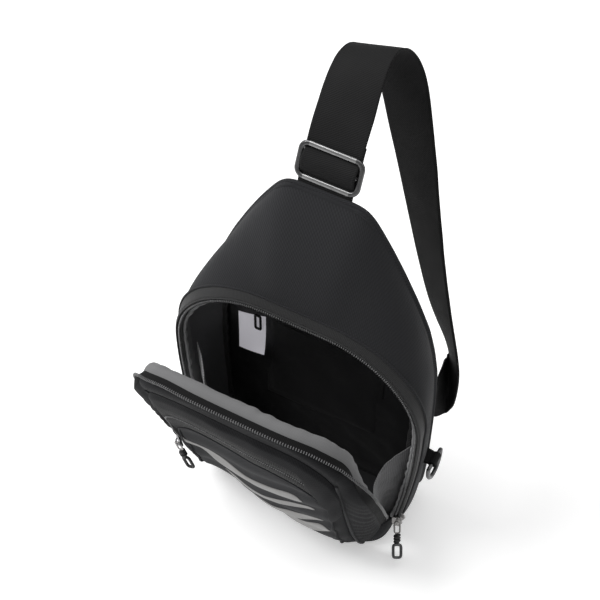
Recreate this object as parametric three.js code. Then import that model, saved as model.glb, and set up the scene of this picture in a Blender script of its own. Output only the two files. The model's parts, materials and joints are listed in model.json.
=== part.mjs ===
// Sling bag, modelled standing on its base with the front flap unzipped and leaning open.
// Units are millimetres. +X is the wearer-side right of the front view, -Y is the front, +Z is up.
// The origin is on the floor under the body, on the middle plane of the bag.
import * as THREE from 'three';

// ---------------------------------------------------------------- driving dimensions
const HINGE_Z = 18;            // height of the line through the two zip ends
const ARCH_W0 = 82.8;          // half width of the zip arch at its ends
const ARCH_W1 = 93.9;          // half width of the zip arch at its widest
const ARCH_H = 186.4;          // height of the zip arch above its ends
const ARCH_R = 71.8;           // corner radius of the zip arch
const FLAP_LEAN = 23.9 * Math.PI / 180; // lean of the open flap from upright
const BACK_Y = 38;             // depth of the back seam behind the zip plane
const TOP_Z = 290;             // height of the top seam
const TAPE_FLAT = 2.7;         // flat edge of the zip tape beside the teeth
const TAPE_TURN = 6;           // turned edge of the zip tape
const SKIN = 1.8;              // thickness of the outer fabric with its foam
const WEB_W = 38;              // webbing width
const WEB_T = 1.8;             // webbing thickness
const BASE_T = 2.6;            // thickness of the bottom panel
const FLAP_GAP = 4.3;          // from the body teeth line to the flap teeth line

const V = (x, y, z) => new THREE.Vector3(x, y, z);
const group = new THREE.Group();
group.name = 'sling_bag';

function material(hex, roughness, metalness) {
  return new THREE.MeshStandardMaterial({ color: hex, roughness, metalness });
}
const fabric = () => material(0x26272a, 0.88, 0);
const web = () => material(0x1b1b1d, 0.82, 0);
const tapeMat = () => material(0x222225, 0.85, 0);
const lining = () => material(0x141416, 0.6, 0);
const grey = () => material(0x7d7e80, 0.9, 0);
const silver = () => material(0x9a9695, 0.5, 0.1);
const steel = () => material(0x8b8b90, 0.35, 1);
const gun = () => material(0x4a4a4d, 0.4, 1);
const rubber = () => material(0x202022, 0.6, 0);

function add(name, geometry, mat, parent = group) {
  const mesh = new THREE.Mesh(geometry, mat);
  mesh.name = name;
  parent.add(mesh);
  return mesh;
}

// ---------------------------------------------------------------- geometry helpers
function fromTriangles(points, tris) {
  let vol = 0;
  for (const [a, b, c] of tris) vol += points[a].dot(V().copy(points[b]).cross(points[c]));
  const g = new THREE.BufferGeometry();
  g.setAttribute('position', new THREE.Float32BufferAttribute(points.flatMap(p => [p.x, p.y, p.z]), 3));
  g.setIndex(tris.flatMap(([a, b, c]) => (vol < 0 ? [a, c, b] : [a, b, c])));
  g.computeVertexNormals();
  return g;
}

// A closed sheet: f(u, v) is one face, and the other lies `t` along -normal from it.
function sheet(f, nu, nv, t) {
  const P = [], Q = [];
  const e = 1e-3;
  for (let i = 0; i <= nu; i++) for (let j = 0; j <= nv; j++) {
    const u = i / nu, v = j / nv;
    const p = f(u, v);
    const du = f(Math.min(u + e, 1), v).sub(f(Math.max(u - e, 0), v));
    const dv = f(u, Math.min(v + e, 1)).sub(f(u, Math.max(v - e, 0)));
    const n = du.cross(dv).normalize();
    P.push(p); Q.push(p.clone().addScaledVector(n, -t));
  }
  const pts = [...P, ...Q], m = P.length, tris = [];
  const id = (i, j) => i * (nv + 1) + j;
  const quad = (a, b, c, d) => { tris.push([a, b, c], [a, c, d]); };
  for (let i = 0; i < nu; i++) for (let j = 0; j < nv; j++) {
    quad(id(i, j), id(i + 1, j), id(i + 1, j + 1), id(i, j + 1));
    quad(m + id(i, j), m + id(i, j + 1), m + id(i + 1, j + 1), m + id(i + 1, j));
  }
  for (let i = 0; i < nu; i++) {
    quad(id(i, 0), m + id(i, 0), m + id(i + 1, 0), id(i + 1, 0));
    quad(id(i, nv), id(i + 1, nv), m + id(i + 1, nv), m + id(i, nv));
  }
  for (let j = 0; j < nv; j++) {
    quad(id(0, j), id(0, j + 1), m + id(0, j + 1), m + id(0, j));
    quad(id(nu, j), m + id(nu, j), m + id(nu, j + 1), id(nu, j + 1));
  }
  return fromTriangles(pts, tris);
}

// A strip with a rectangular section between two edge lines a(s) and b(s).
function strip(a, b, n, t, across = 1) {
  return sheet((s, v) => a(s).lerp(b(s), v), n, across, t);
}

// A closed bar whose section corners at s are section(s), all in one turning order.
function bar(section, n, closed = false) {
  const rings = [];
  for (let i = 0; i < (closed ? n : n + 1); i++) rings.push(section(i / n));
  const k = rings[0].length, pts = rings.flat(), tris = [];
  const last = closed ? n : n;
  for (let i = 0; i < last; i++) {
    const i2 = (i + 1) % rings.length;
    for (let j = 0; j < k; j++) {
      const a = i * k + j, b = i * k + (j + 1) % k, c = i2 * k + (j + 1) % k, d = i2 * k + j;
      tris.push([a, b, c], [a, c, d]);
    }
  }
  if (!closed) {
    for (let j = 1; j < k - 1; j++) {
      tris.push([0, j + 1, j]);
      const o = (rings.length - 1) * k;
      tris.push([o, o + j, o + j + 1]);
    }
  }
  return fromTriangles(pts, tris);
}

function extrude(shape, depth, curveSegments = 8) {
  return new THREE.ExtrudeGeometry(shape, { depth, bevelEnabled: false, curveSegments });
}
function roundedRect(w, h, r) {
  const s = new THREE.Shape(), x = -w / 2, y = -h / 2;
  s.moveTo(x + r, y); s.lineTo(x + w - r, y); s.absarc(x + w - r, y + r, r, -Math.PI / 2, 0, false);
  s.lineTo(x + w, y + h - r); s.absarc(x + w - r, y + h - r, r, 0, Math.PI / 2, false);
  s.lineTo(x + r, y + h); s.absarc(x + r, y + h - r, r, Math.PI / 2, Math.PI, false);
  s.lineTo(x, y + r); s.absarc(x + r, y + r, r, Math.PI, 1.5 * Math.PI, false);
  return s;
}
function ringShape(w, h, r, t) {
  const s = roundedRect(w, h, r);
  const hole = roundedRect(w - 2 * t, h - 2 * t, Math.max(r - t, 0.3));
  s.holes.push(new THREE.Path(hole.getPoints(6).reverse()));
  return s;
}

// A polyline in the X-Z plane with lookup by length share, giving the point and outward normal.
function outline(points) {
  const len = [0];
  for (let i = 1; i < points.length; i++) len.push(len[i - 1] + Math.hypot(points[i][0] - points[i - 1][0], points[i][1] - points[i - 1][1]));
  const total = len[len.length - 1];
  const at = s => {
    const d = Math.min(Math.max(s, 0), 1) * total;
    let i = 1;
    while (i < len.length - 1 && len[i] < d) i++;
    const k = (d - len[i - 1]) / (len[i] - len[i - 1]);
    return [points[i - 1][0] + k * (points[i][0] - points[i - 1][0]), points[i - 1][1] + k * (points[i][1] - points[i - 1][1])];
  };
  return {
    total,
    p: at,
    n: s => {
      const a = at(s - 0.012), b = at(s + 0.012);
      const dx = b[0] - a[0], dz = b[1] - a[1], l = Math.hypot(dx, dz);
      return [dz / l, -dx / l];
    },
  };
}
function mirrored(right) {
  return [...right, ...right.slice().reverse().filter(p => p[0] > 1e-6).map(p => [-p[0], p[1]])];
}
// The zip arch, offset inwards by d, from its right end to its left end; z is measured from the hinge line.
function archPoints(d, z0 = 0) {
  const pts = [];
  const w0 = ARCH_W0 - d, w1 = ARCH_W1 - d, h = ARCH_H - d, r = ARCH_R - d, side = h - r;
  if (z0 < 0) pts.push([w0 - 4, z0], [w0 - 1.5, z0 * 0.5]);
  for (let i = 0; i < 12; i++) {
    const t = i / 12;
    if (side * t >= z0) pts.push([w0 + (w1 - w0) * Math.sin(t * Math.PI / 2), side * t]);
  }
  for (let i = 0; i <= 20; i++) {
    const a = i / 20 * Math.PI / 2;
    pts.push([w1 - r + r * Math.cos(a), side + r * Math.sin(a)]);
  }
  pts.push([8, h], [0, h]);
  return mirrored(pts);
}

// ---------------------------------------------------------------- body: bottom and back
{
  // The front edge runs straight under the right half and sweeps back towards the left corner.
  const edge = [[79, 26], [78, 33], [74, 38], [66, 40], [-66, 40], [-74, 38], [-78, 33], [-79, 26], [-79, 2], [-77.5, -1.5], [-74, -4.5],
    [-66, -8], [-50, -11.5], [-30, -17], [-12, -21.8], [0, -23.5], [30, -23.8], [50, -21.3], [66, -17.5], [74, -12.5], [77.8, -7.5], [79, -3]];
  const s = new THREE.Shape(edge.map(p => new THREE.Vector2(...p)));
  add('bottom_panel', extrude(s, BASE_T, 5), fabric());
}
const backRight = [[75, 4.2], [80, 9], [83.5, 18], [85, 36], [86, 70], [86.5, 100], [86.5, 125], [85.5, 156], [82, 178], [77, 198], [68, 220], [57, 243], [48, 260], [39, 275], [33, 284], [27, 289], [20, 290], [0, 290]];
const back = outline(mirrored(backRight));
function backShape(inset) {
  const s = new THREE.Shape();
  const n = 56;
  for (let i = 0; i <= n; i++) {
    const [x, z] = back.p(i / n), [nx, nz] = back.n(i / n);
    const px = x - nx * inset, pz = z - nz * inset;
    if (i === 0) s.moveTo(px, pz); else s.lineTo(px, pz);
  }
  s.closePath();
  return s;
}
function standing(shape, depth, yFront, segments = 4) { // extruded from yFront towards the back
  const g = extrude(shape, depth, segments);
  g.rotateX(Math.PI / 2);            // shape (x, y) -> (x, z), depth -> -Y
  g.translate(0, yFront + depth, 0);
  return g;
}
add('back_lining', standing(backShape(9), 0.8, BACK_Y - 0.6), lining());
add('back_foam', standing(backShape(6), 3.2, BACK_Y + 0.5), material(0x3a3a3c, 0.95, 0));
add('back_panel', standing(backShape(0), 1.6, BACK_Y + 4.0), fabric());

// ---------------------------------------------------------------- body: zip tape, teeth and front
const bodyArch = outline(archPoints(0));
const bodyFull = outline(archPoints(0, -13.8));
const turn = nz => { const k = Math.max(nz, 0); return (95 - 69 * k) * Math.PI / 180; };
function tapeEdge(o, s, flat, back) {
  const [x, z] = o.p(s), [nx, nz] = o.n(s), b = turn(nz), c = Math.cos(b), q = Math.sin(b);
  const r = flat + back * c;
  return V(x + nx * r, back * q, z + nz * r + HINGE_Z);
}
function bead(o, s, lo, hi, y, dz) { // square bead between offsets lo..hi from the line
  const [x, z] = o.p(s), [nx, nz] = o.n(s);
  return [[lo, -y], [hi, -y], [hi, y], [lo, y]].map(([d, yy]) => V(x + nx * d, yy, z + nz * d + dz));
}
add('body_zip_teeth', bar(s => bead(bodyArch, s, -1.6, -0.3, 0.9, HINGE_Z), 60), material(0x2c2c2e, 0.4, 0.2));
add('body_zip_tape', sheet((s, v) => v < 0.5
  ? tapeEdge(bodyArch, s, TAPE_FLAT * v * 2, 0)
  : tapeEdge(bodyArch, s, TAPE_FLAT, TAPE_TURN * (v - 0.5) * 2), 60, 4, 0.7), tapeMat());

// The front and side fabric of the body: a loft from the zip tape to the back seam.
function bodySkin(s, v) {
  const a = tapeEdge(bodyFull, s, TAPE_FLAT, TAPE_TURN + 0.4);
  const [bx, bz] = back.p(s);
  const b = V(bx, BACK_Y + 3.4, bz);
  const [nx, nz] = back.n(s);
  const p = a.clone().lerp(b, v);
  const k = 4 * v * (1 - v);
  const up = Math.max(nz, 0);
  const swell = 1.2 + 6.6 * Math.pow(Math.min(a.distanceTo(b) / 90, 1), 2);
  p.x += nx * swell * k * (1 - 0.45 * up);
  p.z += Math.max(nz, 0) * swell * k * 0.5;
  p.y -= swell * k * 0.85 * up;
  return p;
}
const SPLIT = 0.265;
add('upper_front_panel', sheet((s, v) => bodySkin(SPLIT + 0.0015 + (1 - 2 * SPLIT - 0.003) * s, v * 0.985), 34, 8, -SKIN), fabric());
add('right_gusset', sheet((s, v) => bodySkin(SPLIT * s, v), 12, 5, -SKIN), fabric());
add('left_gusset', sheet((s, v) => bodySkin(1 - SPLIT + SPLIT * s, v), 12, 5, -SKIN), fabric());

// ---------------------------------------------------------------- inside of the body
function inner(s, off, y) { // a point just inside the side skin
  const [x, z] = back.p(s), [nx, nz] = back.n(s);
  return V(x - nx * off, y, z - nz * off);
}
// Light lining on the two side walls, between the zip edge and the back.
const side = (name, s0, s1) => add(name, strip(s => inner(s0 + (s1 - s0) * s, 6.2, 34.5), s => inner(s0 + (s1 - s0) * s, 6.2 , 12.5), 10, 0.8), grey());
side('right_side_lining', 0.05, 0.22);
side('left_side_lining', 0.78, 0.95);
// Bound seams where the back lining meets the side lining.
const seam = (name, s0, s1) => add(name, bar(q => {
  const s = s0 + (s1 - s0) * q, c = inner(s, 10, 33.2), [nx, nz] = back.n(s);
  return [[-1.6, -1.5], [1.6, -1.5], [1.6, 1.5], [-1.6, 1.5]].map(([d, y]) => V(c.x + nx * d, c.y + y, c.z + nz * d));
}, 22), lining());
seam('right_seam_binding', 0.06, 0.38);
seam('left_seam_binding', 0.62, 0.94);
// Zipped pocket in the back lining.
const IPX = -47;             // where the inner slider rests
const IPZ = 153;            // height of the inner pocket's zip
add('inner_pocket_tape', standing((() => { const s = new THREE.Shape(roundedRect(92, 12, 1.5).getPoints(3).map(p => p.add(new THREE.Vector2(4, IPZ)))); return s; })(), 0.7, 36.2), lining());
add('inner_pocket_teeth', new THREE.BoxGeometry(84, 1.0, 2.0).translate(4, 35.35, IPZ), material(0x1c1c1e, 0.5, 0));
add('inner_pocket_panel', standing((() => { const s = new THREE.Shape(roundedRect(96, 92, 6).getPoints(3).map(p => p.add(new THREE.Vector2(4, IPZ - 54)))); return s; })(), 0.7, 36.2), lining());
add('inner_pocket_slider', new THREE.BoxGeometry(9, 1.8, 6.4).translate(IPX, 33.6, IPZ), gun());
{
  const g = extrude(ringShape(6.4, 17, 3, 1.9), 1.4, 4);
  g.rotateX(Math.PI / 2);
  g.translate(IPX, 32.2, IPZ - 12.4);
  add('inner_pocket_pull', g, rubber());
}
// Sewn-in care label, blank.
add('care_label', sheet((u, v) => V(-64 + 22 * u, 35.3 - 2.6 * v - 0.3 * Math.sin(u * 3), 141 - 40 * v), 4, 5, 0.5), material(0xd8d8da, 0.8, 0));

// ---------------------------------------------------------------- flap, in its own frame: u across, v up, n out
const flap = new THREE.Group();
flap.position.set(0, 0, HINGE_Z);
flap.rotation.x = FLAP_LEAN;
group.add(flap);
const F = (u, v, n) => V(u, -n, v);
const flapArch = outline(archPoints(FLAP_GAP));
const faceN = v => { // profile of the outer front, n against v
  const t = [[0, 17.5], [6, 23], [16, 26], [30, 27.2], [50, 26.2], [75, 22.6], [100, 17.6], [125, 12], [150, 6.6], [170, 2.6], [186, 0]];
  for (let i = 1; i < t.length; i++) if (v <= t[i][0]) {
    const k = (v - t[i - 1][0]) / (t[i][0] - t[i - 1][0]);
    return t[i - 1][1] + k * (t[i][1] - t[i - 1][1]);
  }
  return 0;
};
// The front sinks back towards the flap's left side, where the cloth has collapsed.
const sstep = (a, b, x) => { const t = Math.min(Math.max((x - a) / (b - a), 0), 1); return t * t * (3 - 2 * t); };
const SINK = [[-72, 7], [-62, 10], [-50, 14], [-33, 13], [0, 6.5], [33, 4], [66, 0], [90, 0]];
const sink = (u, v) => {
  let k = SINK[0][1];
  for (let i = 1; i < SINK.length; i++) if (u > SINK[i - 1][0]) {
    const t = Math.min((u - SINK[i - 1][0]) / (SINK[i][0] - SINK[i - 1][0]), 1);
    k = SINK[i - 1][1] + t * (SINK[i][1] - SINK[i - 1][1]);
  }
  return k * (0.5 + 0.5 * sstep(0, 30, v)) * sstep(172, 118, v);
};
const S0 = 0.026, S1 = 1 - S0; // the flap tape starts clear of the main slider
const sub = s => S0 + (S1 - S0) * s;
function flapEdge(s, inward, outN) {
  const [u, v] = flapArch.p(s), [nu, nv] = flapArch.n(s);
  return F(u - nu * inward, v - nv * inward, outN);
}
add('flap_zip_teeth', bar(q => {
  const s = sub(q), [u, v] = flapArch.p(s), [nu, nv] = flapArch.n(s);
  return [[-1.6, -0.9], [-0.3, -0.9], [-0.3, 0.9], [-1.6, 0.9]].map(([d, n]) => F(u + nu * d, v + nv * d, n));
}, 60), material(0x2c2c2e, 0.4, 0.2), flap);
add('flap_zip_tape', strip(s => flapEdge(sub(s), 2.7, 0.3), s => flapEdge(sub(s), 7.5, -4.5), 60, 0.7, 2), tapeMat(), flap);
add('flap_lining_facing', strip(s => flapEdge(sub(s), 8.2, -4.8), s => flapEdge(sub(s), 16, -3.2), 60, 0.7, 2), grey(), flap);

// Outer fabric of the flap: the face in the middle and a gusset down each side.
const rim = outline(archPoints(FLAP_GAP + 9.2));
const FACE_W = v => 71 - 4.5 * Math.pow(Math.max(v - 60, 0) / 110, 2) - 5 * Math.pow(Math.max(14 - v, 0) / 14, 2);
const RIM_S = 0.34;            // where the face seam meets the zip tape
const rimPoint = (s, n) => { const [u, v] = rim.p(s); return F(u, Math.max(v, 1.5), n); };
// face: top edge follows the arch, bottom edge is at the hinge level
function face(a, b) {          // a across 0..1, b up 0..1
  const [ut, vt] = rim.p(RIM_S + (1 - 2 * RIM_S) * (1 - a));
  const v = 2 + (vt - 2) * b;
  const w = FACE_W(v);
  const wTop = Math.abs(rim.p(RIM_S)[0]);
  const blend = Math.pow(b, 3);
  const uu = (a * 2 - 1);
  const u = uu * w * (1 - blend) + ut * blend;
  const vv = v;
  const crown = 2.2 * (1 - uu * uu) * Math.sin(Math.PI * Math.min(b * 1.05, 1));
  return F(u, vv, faceN(vv) * (1 - 0.05 * uu * uu) + crown - sink(u, vv));
}
add('flap_front_panel', sheet(face, 14, 16, SKIN), fabric(), flap);
function gusset(sign) {
  return (a, b) => {           // a from the face seam to the zip tape, b up
    const f = face(sign > 0 ? 1 : 0, b);
    const s = sign > 0 ? RIM_S * b : 1 - RIM_S * b;
    const r = rimPoint(s, 1.2);
    const p = f.clone().lerp(r, a);
    const k = 4 * a * (1 - a);
    p.x += sign * k * 3.2; p.y -= k * 1.6;
    return p;
  };
}
function inset(fn, a0, a1, b0, b1) { return (a, b) => fn(a0 + (a1 - a0) * a, b0 + (b1 - b0) * b); }
add('flap_right_gusset', sheet(inset(gusset(1), 0.10, 0.97, 0.01, 0.965), 5, 14, SKIN), fabric(), flap);
add('flap_left_gusset', sheet((a, b) => inset(gusset(-1), 0.10, 0.97, 0.01, 0.965)(1 - a, b), 5, 14, SKIN), fabric(), flap);
add('flap_lining', sheet((a, b) => { const p = face(0.07 + 0.86 * a, 0.03 + 0.9 * b); p.y += 4.6; return p; }, 8, 10, 0.8), lining(), flap);

// ---------------------------------------------------------------- front pocket on the flap
const PV0 = 12, PV1 = 148, PW = 64;
function onFace(u, v) {        // outer surface of the flap's face at u, v
  const uu = u / FACE_W(v), b = v / 176;
  return faceN(v) * (1 - 0.05 * uu * uu) + 2.2 * (1 - uu * uu) * Math.sin(Math.PI * Math.min(b * 1.05, 1)) - sink(u, v);
}
const pocketW = v => PW + 2 * Math.sin(Math.PI * (v - PV0) / (PV1 - PV0)) - 6 * Math.pow(Math.max(PV0 + 22 - v, 0) / 22, 2);
function pocketLift(u, v) {
  const e = 1 - Math.pow(Math.abs(u) / pocketW(v), 6);
  const f = Math.min((v - PV0) / 14, 1), g = Math.min((PV1 - v) / 10, 1);
  return 1.6 + 5.4 * Math.max(e, 0) * Math.sin(Math.max(f, 0) * Math.PI / 2) * (0.55 + 0.45 * Math.sin(Math.max(g, 0) * Math.PI / 2));
}
const POCKET_TOP = 128;        // the pocket zip runs above this
const pocketSurf = (u, v, up) => F(u, v, onFace(u, v) + pocketLift(u, v) + up);
const solidPatch = (fn, base, nu, nv) => { // closed solid between two surfaces
  const P = [], tris = [], id = (i, j) => i * (nv + 1) + j;
  for (const g of [fn, base]) for (let i = 0; i <= nu; i++) for (let j = 0; j <= nv; j++) P.push(g(i / nu, j / nv));
  const m = (nu + 1) * (nv + 1), quad = (a, b, c, d) => tris.push([a, b, c], [a, c, d]);
  for (let i = 0; i < nu; i++) for (let j = 0; j < nv; j++) {
    quad(id(i, j), id(i + 1, j), id(i + 1, j + 1), id(i, j + 1));
    quad(m + id(i, j), m + id(i, j + 1), m + id(i + 1, j + 1), m + id(i + 1, j));
  }
  for (let i = 0; i < nu; i++) {
    quad(id(i, 0), m + id(i, 0), m + id(i + 1, 0), id(i + 1, 0));
    quad(id(i, nv), id(i + 1, nv), m + id(i + 1, nv), m + id(i, nv));
  }
  for (let j = 0; j < nv; j++) {
    quad(id(0, j), id(0, j + 1), m + id(0, j + 1), m + id(0, j));
    quad(id(nu, j), m + id(nu, j), m + id(nu, j + 1), id(nu, j + 1));
  }
  return fromTriangles(P, tris);
};
const across = (a, v) => (a * 2 - 1) * pocketW(v);
add('front_pocket', solidPatch(
  (a, b) => { const v = PV0 + (POCKET_TOP - PV0) * b; return pocketSurf(across(a, v), v, 0); },
  (a, b) => { const v = PV0 + (POCKET_TOP - PV0) * b; const u = across(a, v); return F(u, v, onFace(u, v) + 1.0); }, 16, 14), fabric(), flap);
add('pocket_top_band', solidPatch(
  (a, b) => { const v = 137.4 + (PV1 - 137.4) * b; return pocketSurf(across(a, v), v, 0); },
  (a, b) => { const v = 137.4 + (PV1 - 137.4) * b; const u = across(a, v); return F(u, v, onFace(u, v) + 1.0); }, 16, 3), fabric(), flap);
add('pocket_zip_tape', solidPatch(
  (a, b) => { const v = POCKET_TOP + 0.4 + 8.6 * b; return pocketSurf(across(a, v) * 0.985, v, -0.9); },
  (a, b) => { const v = POCKET_TOP + 0.4 + 8.6 * b; const u = across(a, v) * 0.985; return F(u, v, onFace(u, v) + 1.0); }, 16, 2), tapeMat(), flap);
const PZV = POCKET_TOP + 4.7;
add('pocket_zip_coil', bar(q => {
  const u = -58 + 116 * q, n = onFace(u, PZV) + pocketLift(u, PZV) - 0.3;
  return [[-1.4, 0], [1.4, 0], [1.4, 1.0], [-1.4, 1.0]].map(([d, h]) => F(u, PZV + d, n + h));
}, 20), material(0x2a2a2c, 0.5, 0), flap);

// Four long reflective stripes with pointed ends, lying on the pocket.
const stripeV = [111, 87, 63, 39], stripeU = [[-50, 44], [-45, 50], [-38, 54], [-30, 57]];
stripeV.forEach((v0, i) => {
  const [ua, ub] = stripeU[i];
  add(`reflective_stripe_${i + 1}`, sheet((a, b) => {
    const u = ua + (ub - ua) * a, h = 7.2 * Math.pow(Math.sin(Math.PI * (0.04 + 0.92 * a)), 0.6);
    const v = v0 + h * (b * 2 - 1) + 2.5 * Math.sin(Math.PI * a);
    return pocketSurf(u, v, 0.75);
  }, 16, 3, 0.4), silver(), flap);
});

// Pocket slider, low on the left wall of the pocket, and its pull.
const PSU = -67.2, PSV = 74, PSN = onFace(-66, PSV) + 5.6;
const sliderBox = new THREE.BoxGeometry(7, 1.8, 9.5);
sliderBox.rotateZ(-Math.PI / 4);   // it lies on the wall, facing outwards and forwards
add('pocket_slider', sliderBox.translate(PSU, -PSN, PSV), gun(), flap);
// The pull hangs from the slider and leans in over the pocket.
const pullHinge = new THREE.Vector3(PSU - 1.8, -(PSN + 3.2), PSV).applyEuler(flap.rotation).add(flap.position);
const pocketPull = new THREE.Group();
pocketPull.position.copy(pullHinge);
pocketPull.rotation.y = -23 * Math.PI / 180;
group.add(pocketPull);
function pullLoop(prefix, parent, len, mats) {
  const link = extrude(ringShape(5.4, 9.5, 2.4, 1.3), 1.2, 4); link.rotateX(Math.PI / 2); link.translate(0, 0.6, -3.4);
  add(`${prefix}_link`, link, mats[0], parent);
  const knot = new THREE.LatheGeometry([[0, -3], [1.6, -2.8], [2.6, -1.2], [2.6, 1.2], [1.6, 2.8], [0, 3]].map(p => new THREE.Vector2(...p)), 10);
  knot.rotateX(Math.PI / 2); knot.translate(0, 0, -11.5);
  add(`${prefix}_knot`, knot, mats[1], parent);
  const loop = extrude(ringShape(8, len, 3.4, 2.3), 2.2, 5); loop.rotateX(Math.PI / 2); loop.translate(0, 1.1, -14.8 - len / 2);
  add(`${prefix}_loop`, loop, mats[2], parent);
}
pullLoop('pocket_pull', pocketPull, 13, [steel(), rubber(), rubber()]);

// ---------------------------------------------------------------- main slider at the right end of the zip
const SX = ARCH_W0, SZ = HINGE_Z + 4.6;
{
  // one closed body: a C-shaped channel, plates joined by the bridge between the two tooth rows
  const s = new THREE.Shape();
  s.moveTo(-6.2, -3.0); s.lineTo(2.2, -3.0); s.lineTo(2.2, -1.6); s.lineTo(-2.05, -1.6); s.lineTo(-2.05, 1.6); s.lineTo(2.2, 1.6);
  s.lineTo(2.2, 3.0); s.lineTo(-6.2, 3.0); s.lineTo(-6.2, 1.6); s.lineTo(-3.55, 1.6); s.lineTo(-3.55, -1.6); s.lineTo(-6.2, -1.6); s.closePath();
  const g = extrude(s, 11, 1);
  g.translate(SX, 0, SZ - 5.5);
  add('main_slider', g, steel());
}
const mainPull = new THREE.Group();
const PULL_DIR = Math.atan2(-0.874, 0.486);   // heading of the pull, outwards and to the front
mainPull.position.set(SX - 0.4, -5.9, SZ - 1);
// local -Z hangs; swing it up towards the heading until the tip is just over the floor
mainPull.rotation.set(0, 0, PULL_DIR + Math.PI / 2);
const tilt = new THREE.Group();
tilt.rotation.x = -(46 * Math.PI / 180);
mainPull.add(tilt);
group.add(mainPull);
pullLoop('main_pull', tilt, 15, [steel(), rubber(), gun()]);

// ---------------------------------------------------------------- D-ring and its tab on the right side
const DR = { x: 100.2, y: 22, z: 86, bar: 20, wire: 1.5 };
{
  const s = new THREE.Shape();
  s.absarc(0, 0, 3.3, -2.5, 2.5, false);
  s.lineTo(-6.0, 3.2); s.lineTo(-6.0, 0.8); s.closePath();
  const hole = new THREE.Path(); hole.absarc(0, 0, 2.05, 0, Math.PI * 2, true);
  s.holes.push(hole);
  const g = extrude(s, 12, 12);
  g.rotateX(Math.PI / 2);
  g.translate(DR.x, DR.y + 6, DR.z);
  add('ring_tab', g, web());
  // ring: a straight bar along Y closed by a half oval hanging below it
  const n = 26, half = DR.bar / 2;
  const path = [];
  for (let i = 0; i < 8; i++) path.push(V(0, -half + DR.bar * i / 8, 0));
  for (let i = 0; i < n - 8; i++) { const a = Math.PI * i / (n - 8); path.push(V(0, half * Math.cos(a), -19 * Math.pow(Math.sin(a), 0.8))); }
  const k = path.length;
  const ring = bar(q => {
    const i = Math.round(q * k) % k, p = path[i], a = path[(i + k - 1) % k], b = path[(i + 1) % k];
    const t = b.clone().sub(a).normalize(), m = V(0, t.z, -t.y);
    return [...Array(8)].map((_, j) => { const c = j / 8 * Math.PI * 2; return V(p.x + DR.wire * Math.cos(c), 0, 0).add(V(0, p.y, p.z)).addScaledVector(m, DR.wire * Math.sin(c)); });
  }, k, true);
  ring.translate(DR.x, DR.y, DR.z);
  add('d_ring', ring, gun());
}

// ---------------------------------------------------------------- strap
// Left edge and right edge of the webbing, from the top seam over the loop to the lower right back seam.
const STRAP_L = [[-21.0, 45.9, 292.1], [-21.0, 48.8, 298.4], [-21.0, 53.7, 308.7], [-21.0, 58.5, 319.1], [-21.1, 64.3, 328.4], [-21.8, 72.6, 335.6], [-22.5, 81.0, 342.6], [-23.2, 90.6, 347.8], [-23.5, 101.1, 350.5], [-22.6, 111.5, 349.2], [-20.0, 119.9, 343.1], [-16.1, 124.9, 334.0], [-11.8, 126.7, 323.7], [-7.4, 126.2, 313.1], [-3.1, 124.2, 302.6], [1.2, 121.6, 292.2], [5.6, 118.8, 282.0], [10.2, 116.0, 271.8], [14.7, 113.2, 261.7], [19.2, 110.3, 251.6], [23.7, 107.3, 241.5], [28.2, 104.3, 231.5], [32.6, 101.4, 221.5], [37.0, 98.5, 211.5], [41.4, 95.8, 201.5], [45.8, 93.2, 191.5], [50.1, 90.9, 181.5], [54.6, 88.9, 171.5], [59.2, 87.5, 161.6], [64.0, 86.8, 151.8], [68.9, 86.5, 142.0], [73.2, 86.1, 132.3], [76.3, 85.5, 123.5], [78.1, 82.7, 122.4], [83.1, 68.1, 133.0], [85.9, 53.0, 136.6], [88.0, 45.3, 137.4]];
const STRAP_R = [[17.0, 45.9, 292.1], [17.0, 48.8, 298.4], [17.0, 53.7, 308.7], [17.0, 58.5, 319.1], [16.9, 65.0, 328.9], [16.1, 73.9, 337.8], [15.2, 81.6, 346.8], [14.2, 90.2, 354.5], [13.3, 100.0, 359.8], [13.6, 110.0, 360.6], [15.7, 118.2, 356.0], [19.2, 123.2, 347.8], [23.3, 124.5, 338.1], [27.4, 123.1, 328.0], [31.3, 120.0, 318.0], [35.2, 116.0, 308.1], [39.2, 111.7, 298.3], [43.1, 107.3, 288.6], [47.1, 102.9, 278.8], [50.9, 98.4, 268.9], [54.7, 93.9, 259.0], [58.4, 89.5, 249.0], [62.2, 85.2, 239.0], [65.9, 81.0, 228.8], [69.8, 77.2, 218.6], [73.7, 73.5, 208.2], [77.6, 70.2, 197.7], [81.4, 67.0, 187.0], [85.3, 64.1, 176.2], [89.1, 61.6, 165.2], [92.7, 59.3, 153.9], [95.5, 57.0, 142.2], [96.8, 54.2, 129.5], [96.9, 50.6, 114.6], [93.3, 51.4, 100.5], [89.8, 47.0, 99.2], [87.6, 45.3, 99.4]];
const smooth = pts => new THREE.CatmullRomCurve3(pts.map(p => V(...p)), false, 'centripetal');
const edgeL = smooth(STRAP_L), edgeR = smooth(STRAP_R);
// A bar along the strap from q0 to q1, `lo` to `hi` behind its middle plane, `trim` narrower on each side.
function along(q0, q1, lo, hi, trim, n) {
  return bar(k => {
    const q = q0 + (q1 - q0) * k, e = 0.004, qa = Math.max(q - e, 0), qb = Math.min(q + e, 1);
    const l = edgeL.getPoint(q), r = edgeR.getPoint(q);
    const w = r.clone().sub(l).normalize();
    const t = edgeL.getPoint(qb).add(edgeR.getPoint(qb)).sub(edgeL.getPoint(qa)).sub(edgeR.getPoint(qa));
    const m = t.cross(w).normalize();       // out of the rear face on the front run
    l.addScaledVector(w, trim); r.addScaledVector(w, -trim);
    const at = (p, d) => p.clone().addScaledVector(m, d);
    return [at(l, lo), at(r, lo), at(r, hi), at(l, hi)];
  }, n);
}
add('strap_webbing', along(0, 1, -WEB_T / 2, WEB_T / 2, 0, 72), web());
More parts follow.
